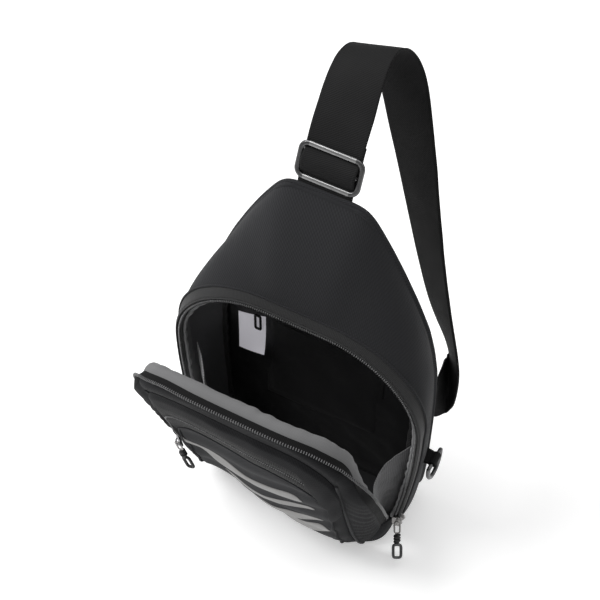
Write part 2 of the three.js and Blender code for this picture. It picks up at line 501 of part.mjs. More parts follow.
// folded and sewn end of the webbing, lying behind the front run
add('strap_sewn_end', along(0.055, 0.112, 1.3, 2.8, 0.4, 8), web());

// Straight run of the strap above the top seam: along (0, sin, cos) of its lean.
const LEAN = 25 * Math.PI / 180;
const run = new THREE.Group();   // local z along the webbing, local -y out of its front face
run.position.set(-2, 44, 288);
run.rotation.x = -LEAN;
group.add(run);
const TG = 21;                 // height of the adjuster's middle above the seam, along the strap
{
  const g = extrude(ringShape(46.5, 26.5, 6.5, 3.6), 2.6, 5);
  g.rotateX(Math.PI / 2);
  g.translate(0, -1.5, TG);
  add('adjuster_frame', g, gun(), run);
}
{
  const g = new THREE.CylinderGeometry(1.2, 1.2, 38.7, 10);
  g.rotateZ(Math.PI / 2);
  g.translate(0, -2.9, TG);
  add('adjuster_middle_bar', g, steel(), run);
}
// the turn of webbing over the middle bar, between the two outer bars
{
  const s = new THREE.Shape(), top = [], bot = [];
  const N = 14;
  for (let i = 0; i <= N; i++) { const a = -1 + 2 * i / N; top.push([a * 8.8, -1.55 - 5.0 * Math.pow(Math.cos(a * Math.PI / 2), 0.75)]); }
  for (let i = N; i >= 0; i--) { const a = -1 + 2 * i / N; bot.push([a * 7.2, -1.35 - 3.4 * Math.pow(Math.cos(a * Math.PI / 2), 0.75)]); }
  const all = [...top, ...bot];
  s.moveTo(...all[0]); all.slice(1).forEach(p => s.lineTo(...p)); s.closePath();
  // shape (x, y) is (along the strap, out); the extrusion runs across
  const m = new THREE.Matrix4().set(0, 0, 1, 0, 0, 1, 0, 0, -1, 0, 0, 0, 0, 0, 0, 1);
  const h = extrude(s, WEB_W, 1);
  h.applyMatrix4(m);
  h.translate(-WEB_W / 2, 0, TG);
  add('adjuster_webbing_turn', h, web(), run);
}

export default group;
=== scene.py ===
import bpy, math, json
import numpy as np
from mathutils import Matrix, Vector


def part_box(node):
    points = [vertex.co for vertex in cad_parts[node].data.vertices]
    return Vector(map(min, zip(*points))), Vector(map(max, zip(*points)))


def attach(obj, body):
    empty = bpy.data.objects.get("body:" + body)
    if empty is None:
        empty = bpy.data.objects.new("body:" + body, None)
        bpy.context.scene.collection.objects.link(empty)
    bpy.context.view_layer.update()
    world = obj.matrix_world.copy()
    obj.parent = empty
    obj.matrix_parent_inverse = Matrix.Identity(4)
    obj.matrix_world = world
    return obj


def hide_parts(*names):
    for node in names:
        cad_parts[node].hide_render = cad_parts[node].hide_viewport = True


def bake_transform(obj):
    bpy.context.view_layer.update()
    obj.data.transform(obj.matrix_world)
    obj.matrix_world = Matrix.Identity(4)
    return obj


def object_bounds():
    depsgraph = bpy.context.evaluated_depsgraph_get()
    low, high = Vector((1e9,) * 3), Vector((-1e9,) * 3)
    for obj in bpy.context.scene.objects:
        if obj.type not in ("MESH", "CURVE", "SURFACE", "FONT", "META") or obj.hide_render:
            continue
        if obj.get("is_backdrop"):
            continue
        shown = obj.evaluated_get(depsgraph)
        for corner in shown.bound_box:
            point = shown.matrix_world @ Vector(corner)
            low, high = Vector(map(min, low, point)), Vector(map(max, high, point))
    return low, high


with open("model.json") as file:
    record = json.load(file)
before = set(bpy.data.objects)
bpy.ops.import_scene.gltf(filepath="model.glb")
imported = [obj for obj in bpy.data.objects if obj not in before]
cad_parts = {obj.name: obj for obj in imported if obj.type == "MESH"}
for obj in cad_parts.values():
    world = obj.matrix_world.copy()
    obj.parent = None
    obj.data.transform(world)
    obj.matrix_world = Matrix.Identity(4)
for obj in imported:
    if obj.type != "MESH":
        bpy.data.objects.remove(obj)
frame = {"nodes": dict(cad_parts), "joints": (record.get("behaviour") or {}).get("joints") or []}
CAD_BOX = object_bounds()
NODES = frame["nodes"]
TAU = 2 * math.pi

# ------------------------------------------------------------------ camera, first of all
def camera():
    cam = bpy.data.cameras.new("camera")
    cam.sensor_fit = "HORIZONTAL"
    cam.sensor_width = 36.0
    cam.lens = 96.4
    cam.clip_start, cam.clip_end = 0.05, 20
    o = bpy.data.objects.new("camera", cam)
    o.location = (0.31167, -0.55725, 1.04246)
    o.rotation_euler = (math.radians(38.16), 0, math.radians(28.88))
    bpy.context.scene.collection.objects.link(o)
    bpy.context.scene.camera = o
camera()

# ------------------------------------------------------------------ numeric helpers (millimetres)
def vnoise(P, scale, seed=0):
    """Smooth value noise in -1..1 at the points P, with cells of `scale` mm."""
    Q = np.asarray(P, float) / scale
    I = np.floor(Q).astype(np.int64)
    f = Q - I
    f = f * f * f * (f * (f * 6 - 15) + 10)
    out = np.zeros(Q.shape[:-1])
    for dx in (0, 1):
        for dy in (0, 1):
            for dz in (0, 1):
                h = (I[..., 0] + dx) * 374761393 + (I[..., 1] + dy) * 668265263 + (I[..., 2] + dz) * 2147483647 + seed * 144665
                h = (h ^ (h >> 13)) * 1274126177
                h = (h ^ (h >> 16)) & 0xFFFF
                w = (f[..., 0] if dx else 1 - f[..., 0]) * (f[..., 1] if dy else 1 - f[..., 1]) * (f[..., 2] if dz else 1 - f[..., 2])
                out += w * (h / 65535.0 * 2 - 1)
    return out

def smoothstep(a, b, x):
    t = np.clip((np.asarray(x, float) - a) / (b - a), 0, 1)
    return t * t * (3 - 2 * t)

class Outline:
    """A line in the X-Z plane by length share, with its outward normal, rounded by `soft` mm."""
    def __init__(self, pts, soft=3.0):
        p = np.array(pts, float)
        d = np.r_[0, np.cumsum(np.hypot(*np.diff(p, axis=0).T))]
        n = 1600
        t = np.linspace(0, d[-1], n)
        q = np.c_[np.interp(t, d, p[:, 0]), np.interp(t, d, p[:, 1])]
        if soft:
            k = max(int(soft / (d[-1] / n)), 1)
            g = np.exp(-0.5 * (np.arange(-3 * k, 3 * k + 1) / k) ** 2); g /= g.sum()
            a = 2 * q[0] - q[1:3 * k + 1][::-1]; b = 2 * q[-1] - q[-3 * k - 1:-1][::-1]
            e = np.vstack([a, q, b])
            q = np.c_[np.convolve(e[:, 0], g, "valid"), np.convolve(e[:, 1], g, "valid")]
        self.q, self.t, self.total = q, np.linspace(0, 1, len(q)), d[-1]
    def p(self, s):
        s = np.clip(s, 0, 1)
        return np.stack([np.interp(s, self.t, self.q[:, 0]), np.interp(s, self.t, self.q[:, 1])], -1)
    def n(self, s):
        s = np.asarray(s, float)
        a, b = self.p(s - 0.012), self.p(s + 0.012)
        d = b - a
        l = np.linalg.norm(d, axis=-1, keepdims=True)
        d = d / np.maximum(l, 1e-9)
        return np.stack([d[..., 1], -d[..., 0]], -1)

def mirrored(r):
    return r + [[-x, z] for x, z in r[::-1] if x > 1e-6]

ARCH_W0, ARCH_W1, ARCH_H, ARCH_R, HZ = 82.8, 93.9, 186.4, 71.8, 18.0
LEAN = math.radians(23.9)
FLAP_GAP = 4.3
def arch_points(d, z0=0.0):
    pts = []
    w0, w1, h, r = ARCH_W0 - d, ARCH_W1 - d, ARCH_H - d, ARCH_R - d
    side = h - r
    if z0 < 0:
        pts += [[w0 - 4, z0], [w0 - 1.5, z0 * 0.5]]
    for i in range(12):
        t = i / 12
        if side * t >= z0:
            pts.append([w0 + (w1 - w0) * math.sin(t * math.pi / 2), side * t])
    for i in range(41):
        a = i / 40 * math.pi / 2
        pts.append([w1 - r + r * math.cos(a), side + r * math.sin(a)])
    pts += [[8, h], [0, h]]
    return mirrored(pts)

body_arch = Outline(arch_points(0), 2.0)
body_full = Outline(arch_points(0, -13.8), 2.0)
back = Outline(mirrored([[75, 4.2], [80, 9], [83.5, 18], [85, 36], [86, 70], [86.5, 100], [86.5, 125], [85.5, 156], [82, 178], [77, 198], [68, 220], [57, 243], [48, 260], [39, 275], [33, 284], [27, 289], [20, 290], [0, 290]]), 4.0)

def xyz(x, y, z):
    x, y, z = np.broadcast_arrays(x, y, z)
    return np.stack([x, y, z], -1).astype(float)

def tape_edge(o, s, flat, backw):
    p, n = o.p(s), o.n(s)
    k = np.maximum(n[..., 1], 0)
    b = (95 - 69 * k) * math.pi / 180
    r = flat + backw * np.cos(b)
    return xyz(p[..., 0] + n[..., 0] * r, backw * np.sin(b), p[..., 1] + n[..., 1] * r + HZ)

BACK_Y = 38.0
def body_skin(s, v):
    a = tape_edge(body_full, s, 2.7, 6.4)
    bp, bn = back.p(s), back.n(s)
    b = xyz(bp[..., 0], BACK_Y + 3.4, bp[..., 1])
    v3 = np.asarray(v)[..., None]
    p = a * (1 - v3) + b * v3
    k = 4 * v * (1 - v)
    up = np.maximum(bn[..., 1], 0)
    swell = 1.2 + 6.6 * np.minimum(np.linalg.norm(a - b, axis=-1) / 90, 1) ** 2
    p[..., 0] += bn[..., 0] * swell * k * (1 - 0.45 * up)
    p[..., 2] += up * swell * k * 0.5
    p[..., 1] -= swell * k * 0.85 * up
    return p

CL, SL = math.cos(LEAN), math.sin(LEAN)
def F(u, v, n):
    """Flap coordinates (across, up, out) to the row frame at rest, in mm."""
    u, v, n = np.broadcast_arrays(u, v, n)
    return np.stack([u, -n * CL - v * SL, -n * SL + v * CL + HZ], -1).astype(float)

# ------------------------------------------------------------------ mesh helpers
COL = bpy.context.scene.collection
def obj_from(name, verts, faces, mat, body=None, uv=None, smooth=True, mat_index=None, mats=None):
    me = bpy.data.meshes.new(name)
    me.from_pydata([tuple(v) for v in (np.asarray(verts, float) * 0.001)], [], faces)
    me.update()
    o = bpy.data.objects.new(name, me)
    COL.objects.link(o)
    for m in (mats or [mat]):
        me.materials.append(m)
    if uv is not None:
        layer = me.uv_layers.new(name="UVMap")
        loops = np.zeros(len(me.loops), np.int32)
        me.loops.foreach_get("vertex_index", loops)
        layer.data.foreach_set("uv", np.asarray(uv, np.float32)[loops].ravel())
    if smooth:
        me.polygons.foreach_set("use_smooth", np.ones(len(me.polygons), bool))
    if mat_index is not None:
        me.polygons.foreach_set("material_index", np.asarray(mat_index, np.int32))
    if body:
        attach(o, body)
    return o

def grid_normals(P, wrap_i=False):
    if wrap_i:
        du = np.roll(P, -1, 0) - np.roll(P, 1, 0)
    else:
        du = np.gradient(P, axis=0)
    dv = np.gradient(P, axis=1)
    n = np.cross(du, dv)
    l = np.linalg.norm(n, axis=-1, keepdims=True)
    return n / np.maximum(l, 1e-9)

def arc_uv(P):
    """UV in metres: length along each grid direction."""
    di = np.linalg.norm(np.diff(P, axis=0), axis=-1).mean(1)
    dj = np.linalg.norm(np.diff(P, axis=1), axis=-1).mean(0)
    u = np.r_[0, np.cumsum(di)] * 0.001
    v = np.r_[0, np.cumsum(dj)] * 0.001
    return np.stack(np.meshgrid(u, v, indexing="ij"), -1)

def shell(name, P, t, mat, body=None, inside=None, rim=0.5, wrap_i=False, flip=False, uv=None):
    """A closed cloth shell. P[i, j] is its outer face; it is t thick, away from `inside` (a point that the
    outer face looks away from), with rounded rims."""
    P = np.asarray(P, float)
    N = grid_normals(P, wrap_i)
    if inside is not None:
        d = ((P - np.asarray(inside, float)) * N).sum(-1)
        if d.mean() < 0:
            N = -N
    elif flip:
        N = -N
    Q = P - N * t
    M = P - N * t / 2
    ni, nj = P.shape[:2]
    uvg = arc_uv(P) if uv is None else uv
    verts, faces, uvs = [P.reshape(-1, 3), Q.reshape(-1, 3)], [], [uvg.reshape(-1, 2), uvg.reshape(-1, 2)]
    idx = np.arange(ni * nj).reshape(ni, nj)
    # which way round the quads go
    a = np.cross(P[min(1, ni - 1), 0] - P[0, 0], P[0, 1] - P[0, 0])
    sgn = (np.sum(grid_normals(P, wrap_i) * N) > 0)
    def q(a, b, c, d, f):
        faces.append((a, b, c, d) if f else (d, c, b, a))
    top = range(ni if wrap_i else ni - 1)
    for i in top:
        i2 = (i + 1) % ni
        for j in range(nj - 1):
            q(idx[i, j], idx[i2, j], idx[i2, j + 1], idx[i, j + 1], sgn)
            o = ni * nj
            q(o + idx[i, j], o + idx[i2, j], o + idx[i2, j + 1], o + idx[i, j + 1], not sgn)
    count = 2 * ni * nj
    def border(line, outdirs, f):
        nonlocal count
        pts = M.reshape(-1, 3)[line] + outdirs * t * rim
        verts.append(pts); uvs.append(uvg.reshape(-1, 2)[line])
        k = len(line)
        ids = np.arange(count, count + k)
        count += k
        closed = False
        for m in range(k - 1):
            q(line[m], line[m + 1], ids[m + 1], ids[m], f)
            q(ids[m], ids[m + 1], line[m + 1] + ni * nj, line[m] + ni * nj, f)
        return ids
    def outdir(A, B):
        d = A - B
        return d / np.maximum(np.linalg.norm(d, axis=-1, keepdims=True), 1e-9)
    rings = {}
    l0 = idx[:, 0] if not wrap_i else np.r_[idx[:, 0], idx[0, 0]]
    l1 = idx[:, -1] if not wrap_i else np.r_[idx[:, -1], idx[0, -1]]
    P2 = P.reshape(-1, 3)
    nb0 = idx[:, 1] if not wrap_i else np.r_[idx[:, 1], idx[0, 1]]
    nb1 = idx[:, -2] if not wrap_i else np.r_[idx[:, -2], idx[0, -2]]
    border(l0, outdir(P2[l0], P2[nb0]), not sgn)
    border(l1, outdir(P2[l1], P2[nb1]), sgn)
    if not wrap_i:
        border(idx[0, :], outdir(P2[idx[0, :]], P2[idx[1, :]]), sgn)
        border(idx[-1, :], outdir(P2[idx[-1, :]], P2[idx[-2, :]]), not sgn)
    o = obj_from(name, np.vstack(verts), [tuple(int(x) for x in f) for f in faces], mat, None, np.vstack(uvs))
    # close the little corner gaps of the rims
    weld(o, 1e-6)
    if body:
        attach(o, body)
    return o

def weld(o, dist=1e-5, fill=True):
    import bmesh
    bm = bmesh.new(); bm.from_mesh(o.data)
    bmesh.ops.remove_doubles(bm, verts=bm.verts, dist=dist)
    if fill:
        edges = [e for e in bm.edges if len(e.link_faces) == 1]
        if edges:
            bmesh.ops.holes_fill(bm, edges=edges, sides=8)
    bmesh.ops.recalc_face_normals(bm, faces=bm.faces)
    bm.to_mesh(o.data); bm.free()
    o.data.polygons.foreach_set("use_smooth", np.ones(len(o.data.polygons), bool))

def sweep(name, path, section, mat, body=None, closed=False, up=None, ups=None, mats=None, mat_of=None, uvscale=1.0, caps=True):
    """A bar along `path` (mm). section is k points (a, b) in the frame (side, up)."""
    P = np.asarray(path, float); n = len(P)
    T = (np.roll(P, -1, 0) - np.roll(P, 1, 0)) if closed else np.gradient(P, axis=0)
    T /= np.maximum(np.linalg.norm(T, axis=1, keepdims=True), 1e-9)
    U = np.array(ups, float) if ups is not None else np.tile(np.array(up if up is not None else (0, 0, 1), float), (n, 1))
    U = U - (U * T).sum(1, keepdims=True) * T
    U /= np.maximum(np.linalg.norm(U, axis=1, keepdims=True), 1e-9)
    S = np.cross(T, U)
    sec = np.asarray(section, float)
    if sec.ndim == 2:
        sec = np.tile(sec, (n, 1, 1))
    k = sec.shape[1]
    V = P[:, None] + S[:, None] * sec[:, :, 0:1] + U[:, None] * sec[:, :, 1:2]
    faces, mi = [], []
    L = np.r_[0, np.cumsum(np.linalg.norm(np.diff(P, axis=0), axis=1))] * 0.001 * uvscale
    per = np.r_[0, np.cumsum(np.linalg.norm(np.roll(sec[0], -1, 0) - sec[0], axis=1))][:k] * 0.001 * uvscale
    uv = np.stack([np.repeat(L, k), np.tile(per, n)], -1)
    for i in range(n if closed else n - 1):
        i2 = (i + 1) % n
        for j in range(k):
            j2 = (j + 1) % k
            faces.append((i * k + j, i * k + j2, i2 * k + j2, i2 * k + j))
            if mat_of is not None:
                mi.append(mat_of(i / n, j))
    if not closed and caps:
        faces.append(tuple(range(k))[::-1]); faces.append(tuple((n - 1) * k + j for j in range(k)))
        if mat_of is not None:
            mi += [mat_of(0, 0), mat_of(1, 0)]
    o = obj_from(name, V.reshape(-1, 3), faces, mat, None, uv, mat_index=mi if mat_of is not None else None, mats=mats)
    import bmesh
    bm = bmesh.new(); bm.from_mesh(o.data); bmesh.ops.recalc_face_normals(bm, faces=bm.faces); bm.to_mesh(o.data); bm.free()
    if body:
        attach(o, body)
    return o

def circle(r, k=14, rb=None):
    a = np.arange(k) / k * TAU
    return np.stack([r * np.cos(a), (rb or r) * np.sin(a)], -1)

def rrect(w, h, r, k=5):
    pts = []
    for cx, cy, a0 in ((w / 2 - r, h / 2 - r, 0), (-w / 2 + r, h / 2 - r, 90), (-w / 2 + r, -h / 2 + r, 180), (w / 2 - r, -h / 2 + r, 270)):
        for i in range(k + 1):
            a = math.radians(a0 + 90 * i / k)
            pts.append((cx + r * math.cos(a), cy + r * math.sin(a)))
    return np.array(pts)

def spaced(path, step):
    """Points every `step` mm along a path, with their tangents."""
    P = np.asarray(path, float)
    d = np.r_[0, np.cumsum(np.linalg.norm(np.diff(P, axis=0), axis=1))]
    t = np.arange(step / 2, d[-1], step)
    Q = np.stack([np.interp(t, d, P[:, c]) for c in range(3)], -1)
    e = 0.4
    A = np.stack([np.interp(t - e, d, P[:, c]) for c in range(3)], -1)
    B = np.stack([np.interp(t + e, d, P[:, c]) for c in range(3)], -1)
    T = B - A
    T /= np.maximum(np.linalg.norm(T, axis=1, keepdims=True), 1e-9)
    return Q, T, t / d[-1]

def beads(name, centres, T, U, size, mat, body=None, ku=6, kv=4, square=1.0):
    """Many small rounded pieces as one mesh: size (along, across, out), at centres with tangents T and outward U."""
    T = np.asarray(T, float); U = np.asarray(U, float)
    U = U - (U * T).sum(1, keepdims=True) * T
    U /= np.maximum(np.linalg.norm(U, axis=1, keepdims=True), 1e-9)
    S = np.cross(T, U)
    base, f = [], []
    for i in range(kv + 1):
        ph = math.pi * i / kv
        for j in range(ku):
            th = TAU * (j + 0.5) / ku
            c = lambda x: math.copysign(abs(x) ** square, x)
            base.append((c(math.cos(ph)), c(math.sin(ph)) * c(math.cos(th)), c(math.sin(ph)) * c(math.sin(th))))
    for i in range(kv):
        for j in range(ku):
            j2 = (j + 1) % ku
            f.append((i * ku + j, (i + 1) * ku + j, (i + 1) * ku + j2, i * ku + j2))
    base = np.array(base) * np.array(size) / 2
    nb = len(base)
    V = centres[:, None] + T[:, None] * base[None, :, 0:1] + S[:, None] * base[None, :, 1:2] + U[:, None] * base[None, :, 2:3]
    faces = [tuple(x + nb * m for x in q) for m in range(len(centres)) for q in f]
    return obj_from(name, V.reshape(-1, 3), faces, mat, body)

def stitches(name, path, U, mat, body, pitch=3.1, length=2.3, r=0.42, lift=0.12):
    Q, T, t = spaced(path, pitch)
    P = np.asarray(path, float)
    d = np.r_[0, np.cumsum(np.linalg.norm(np.diff(P, axis=0), axis=1))]
    UU = np.asarray(U, float)
    if UU.ndim == 1:
        UU = np.tile(UU, (len(Q), 1))
    else:
        UU = np.stack([np.interp(t * d[-1], d, UU[:, c]) for c in range(3)], -1)
    return beads(name, Q + UU * lift, T, UU, (length, r, r), mat, body)

# ------------------------------------------------------------------ materials
def new_mat(name):
    m = bpy.data.materials.new(name)
    m.use_nodes = True
    nt = m.node_tree
    return m, nt, nt.nodes["Principled BSDF"]

def N(nt, kind, **kw):
    n = nt.nodes.new(kind)
    for k, v in kw.items():
        if k in n.inputs:
            n.inputs[k].default_value = v
        else:
            setattr(n, k, v)
    return n

def ramp(nt, src, stops):
    r = nt.nodes.new("ShaderNodeValToRGB")
    e = r.color_ramp.elements
    while len(e) < len(stops):
        e.new(0.5)
    for i, (p, c) in enumerate(stops):
        e[i].position = p
        e[i].color = (*c, 1) if len(c) == 3 else c
    nt.links.new(src, r.inputs[0])
    return r.outputs[0]

def math_node(nt, op, a, b=None):
    n = nt.nodes.new("ShaderNodeMath"); n.operation = op
    for i, v in enumerate((a, b)):
        if v is None:
            continue
        if isinstance(v, (int, float)):
            n.inputs[i].default_value = v
        else:
            nt.links.new(v, n.inputs[i])
    return n.outputs[0]

def wave(nt, vec, pitch, angle, profile="SIN", distort=0.0):
    """Bands of one pitch (metres) across UV at an angle in degrees, 0..1."""
    mp = N(nt, "ShaderNodeMapping")
    mp.inputs["Rotation"].default_value = (0, 0, math.radians(angle))
    nt.links.new(vec, mp.inputs["Vector"])
    w = nt.nodes.new("ShaderNodeTexWave")
    w.wave_type = "BANDS"; w.bands_direction = "X"; w.wave_profile = profile
    w.inputs["Scale"].default_value = 0.31416 / pitch
    w.inputs["Distortion"].default_value = distort
    w.inputs["Detail"].default_value = 1.0
    w.inputs["Detail Scale"].default_value = 2.0
    nt.links.new(mp.outputs[0], w.inputs["Vector"])
    return w.outputs["Fac"]

def cloth_mat(name, base, rough=0.85, sheen=0.25, pitch=0.0011, angle=58, cross=-32, weave="twill", bump=0.35, var=0.18, depth=0.00018, tint=(1, 1, 1), uvmap=True, noise_scale=38.0, spec=0.35, sheen_rough=0.5):
    m, nt, b = new_mat(name)
    tc = nt.nodes.new("ShaderNodeTexCoord")
    uv = tc.outputs["UV"] if uvmap else tc.outputs["Object"]
    w1 = wave(nt, uv, pitch, angle, distort=0.35)
    if weave == "twill":
        w2 = wave(nt, uv, pitch * 1.35, cross, distort=0.3)
        wv = math_node(nt, "ADD", math_node(nt, "MULTIPLY", w1, 0.68), math_node(nt, "MULTIPLY", w2, 0.32))
    elif weave == "plain":
        w2 = wave(nt, uv, pitch, cross, distort=0.3)
        wv = math_node(nt, "MULTIPLY", w1, w2)
    elif weave == "rib":
        w2 = wave(nt, uv, pitch * 1.1, cross, distort=0.2)
        wv = math_node(nt, "ADD", math_node(nt, "MULTIPLY", w1, 0.82), math_node(nt, "MULTIPLY", w2, 0.18))
    else:
        wv = w1
    n1 = N(nt, "ShaderNodeTexNoise"); n1.inputs["Scale"].default_value = noise_scale; n1.inputs["Detail"].default_value = 4.0
    nt.links.new(tc.outputs["Object"], n1.inputs["Vector"])
    n2 = N(nt, "ShaderNodeTexNoise"); n2.inputs["Scale"].default_value = 1400.0; n2.inputs["Detail"].default_value = 2.0
    nt.links.new(tc.outputs["Object"], n2.inputs["Vector"])
    mix = math_node(nt, "ADD", math_node(nt, "MULTIPLY", wv, 0.55), math_node(nt, "MULTIPLY", n1.outputs["Fac"], 0.25))
    mix = math_node(nt, "ADD", mix, math_node(nt, "MULTIPLY", n2.outputs["Fac"], 0.2))
    bc = np.array(base)
    lo, hi = bc * (1 - var * 2.2), bc * (1 + var * 2.2)
    col = ramp(nt, mix, [(0.22, tuple(np.clip(lo, 0, 1))), (0.5, tuple(bc)), (0.8, tuple(np.clip(hi, 0, 1)))])
    nt.links.new(col, b.inputs["Base Color"])
    rr = ramp(nt, n1.outputs["Fac"], [(0.3, (rough - 0.06,) * 3), (0.7, (min(rough + 0.06, 1),) * 3)])
    nt.links.new(rr, b.inputs["Roughness"])
    b.inputs["Sheen Weight"].default_value = sheen
    b.inputs["Sheen Roughness"].default_value = sheen_rough
    b.inputs["Specular IOR Level"].default_value = spec
    bp = nt.nodes.new("ShaderNodeBump")
    bp.inputs["Strength"].default_value = bump
    bp.inputs["Distance"].default_value = depth
    h = math_node(nt, "ADD", math_node(nt, "MULTIPLY", wv, 0.8), math_node(nt, "MULTIPLY", n2.outputs["Fac"], 0.35))
    nt.links.new(h, bp.inputs["Height"])
    nt.links.new(bp.outputs[0], b.inputs["Normal"])
    return m

def metal_mat(name, base, rough=0.35, metallic=1.0, streak=0.12, aniso=0.3, wear=0.1):
    m, nt, b = new_mat(name)
    tc = nt.nodes.new("ShaderNodeTexCoord")
    n1 = N(nt, "ShaderNodeTexNoise"); n1.inputs["Scale"].default_value = 260.0; n1.inputs["Detail"].default_value = 5.0
    mp = N(nt, "ShaderNodeMapping"); mp.inputs["Scale"].default_value = (1, 8, 8)
    nt.links.new(tc.outputs["Object"], mp.inputs["Vector"]); nt.links.new(mp.outputs[0], n1.inputs["Vector"])
    n2 = N(nt, "ShaderNodeTexNoise"); n2.inputs["Scale"].default_value = 90.0; n2.inputs["Detail"].default_value = 3.0
    nt.links.new(tc.outputs["Object"], n2.inputs["Vector"])
    bc = np.array(base)
    col = ramp(nt, n2.outputs["Fac"], [(0.3, tuple(bc * (1 - wear))), (0.7, tuple(np.clip(bc * (1 + wear), 0, 1)))])
    nt.links.new(col, b.inputs["Base Color"])
    b.inputs["Metallic"].default_value = metallic
    rr = ramp(nt, n1.outputs["Fac"], [(0.3, (max(rough - streak, 0.04),) * 3), (0.7, (min(rough + streak, 1),) * 3)])
    nt.links.new(rr, b.inputs["Roughness"])
    b.inputs["Anisotropic"].default_value = aniso
    bp = nt.nodes.new("ShaderNodeBump"); bp.inputs["Strength"].default_value = 0.12; bp.inputs["Distance"].default_value = 0.0001
    nt.links.new(n1.outputs["Fac"], bp.inputs["Height"]); nt.links.new(bp.outputs[0], b.inputs["Normal"])
    return m

def plastic_mat(name, base, rough=0.45, spec=0.5, bump=0.15, scale=900.0, coat=0.0):
    m, nt, b = new_mat(name)
    tc = nt.nodes.new("ShaderNodeTexCoord")
    n1 = N(nt, "ShaderNodeTexNoise"); n1.inputs["Scale"].default_value = scale; n1.inputs["Detail"].default_value = 3.0
    nt.links.new(tc.outputs["Object"], n1.inputs["Vector"])
    n2 = N(nt, "ShaderNodeTexNoise"); n2.inputs["Scale"].default_value = 60.0
    nt.links.new(tc.outputs["Object"], n2.inputs["Vector"])
    bc = np.array(base)
    nt.links.new(ramp(nt, n2.outputs["Fac"], [(0.3, tuple(bc * 0.88)), (0.7, tuple(np.clip(bc * 1.12, 0, 1)))]), b.inputs["Base Color"])
    nt.links.new(ramp(nt, n2.outputs["Fac"], [(0.3, (max(rough - 0.07, 0.05),) * 3), (0.7, (min(rough + 0.07, 1),) * 3)]), b.inputs["Roughness"])
    b.inputs["Specular IOR Level"].default_value = spec
    b.inputs["Coat Weight"].default_value = coat
    bp = nt.nodes.new("ShaderNodeBump"); bp.inputs["Strength"].default_value = bump; bp.inputs["Distance"].default_value = 0.0001
    nt.links.new(n1.outputs["Fac"], bp.inputs["Height"]); nt.links.new(bp.outputs[0], b.inputs["Normal"])
    return m

SHELL = cloth_mat("shell_fabric", (0.0165, 0.0167, 0.0185), rough=0.88, sheen=0.05, spec=0.22, pitch=0.00135, angle=52, cross=-36, weave="twill", bump=0.55, var=0.14, depth=0.00022)
# darker copy of the shell fabric for the flap and the pocket wall: painted shade
FLAP_FABRIC_PAINTED_SHADE = cloth_mat("flap_fabric_painted_shade", (0.0105, 0.0106, 0.0118), rough=0.88, sheen=0.02, spec=0.16, pitch=0.00135, angle=52, cross=-36, weave="twill", bump=0.55, var=0.14, depth=0.00022)
WEB = cloth_mat("webbing", (0.0085, 0.0085, 0.0087), rough=0.8, sheen=0.0, pitch=0.0013, angle=38, cross=90, weave="rib", bump=0.6, var=0.14, depth=0.0003, spec=0.18)
TAPE = cloth_mat("zip_tape", (0.0145, 0.0145, 0.015), rough=0.75, sheen=0.12, pitch=0.0011, angle=0, cross=90, weave="rib", bump=0.6, var=0.2, depth=0.0002)
# darker copy of the zip tape cloth for the flap's tape: painted shade
FLAP_TAPE_PAINTED_SHADE = cloth_mat("flap_zip_tape", (0.0065, 0.0065, 0.0067), rough=0.85, sheen=0.0, pitch=0.0011, angle=0, cross=90, weave="rib", bump=0.6, var=0.2, depth=0.0002, spec=0.15)
RIBTAPE = cloth_mat("ribbed_tape", (0.0085, 0.0085, 0.0088), rough=0.8, sheen=0.04, spec=0.2, pitch=0.0016, angle=0, cross=90, weave="rib", bump=0.9, var=0.3, depth=0.0004)
LINING = cloth_mat("dark_lining", (0.0115, 0.0115, 0.0125), rough=0.6, sheen=0.05, pitch=0.0006, angle=0, cross=90, weave="plain", bump=0.2, var=0.12, depth=0.00008)
GREY = cloth_mat("grey_lining", (0.15, 0.15, 0.152), rough=0.88, sheen=0.1, pitch=0.0009, angle=0, cross=90, weave="plain", bump=0.3, var=0.05, depth=0.00022)
# copy of the dark lining, ten times lighter, for the side walls: painted light
SIDE_LINING_PAINTED_LIGHT = cloth_mat("side_lining", (0.12, 0.12, 0.126), rough=0.6, sheen=0.05, pitch=0.0006, angle=0, cross=90, weave="plain", bump=0.2, var=0.12, depth=0.00008)
# lighter copies of the grey lining: painted light; the first on the facing's edge and the left zip end, fold_lining
# less light on the right zip end
GREY_LINING_PAINTED_LIGHT = cloth_mat("grey_facing_painted_light", (0.33, 0.33, 0.335), rough=0.88, sheen=0.1, pitch=0.0012, angle=0, cross=90, weave="plain", bump=0.5, var=0.16, depth=0.00022)
FOLDC = cloth_mat("fold_lining", (0.17, 0.17, 0.174), rough=0.88, sheen=0.1, pitch=0.0012, angle=0, cross=90, weave="plain", bump=0.5, var=0.16, depth=0.00022)
BINDING = cloth_mat("seam_binding", (0.016, 0.016, 0.0165), rough=0.8, sheen=0.12, pitch=0.0022, angle=0, cross=90, weave="rib", bump=0.8, var=0.3, depth=0.0005)
STRIPE = cloth_mat("reflective_print", (0.20, 0.195, 0.19), rough=0.5, sheen=0.05, pitch=0.0009, angle=52, cross=-36, weave="twill", bump=0.25, var=0.06, depth=0.0001, spec=0.6)
THREAD = cloth_mat("thread", (0.012, 0.012, 0.0125), rough=0.6, sheen=0.1, pitch=0.0005, angle=45, cross=-45, weave="single", bump=0.4, var=0.2, depth=0.0001, uvmap=False)
LABEL = cloth_mat("label_cloth", (0.72, 0.71, 0.75), rough=0.6, sheen=0.1, pitch=0.0008, angle=0, cross=90, weave="plain", bump=0.3, var=0.04, depth=0.0001)
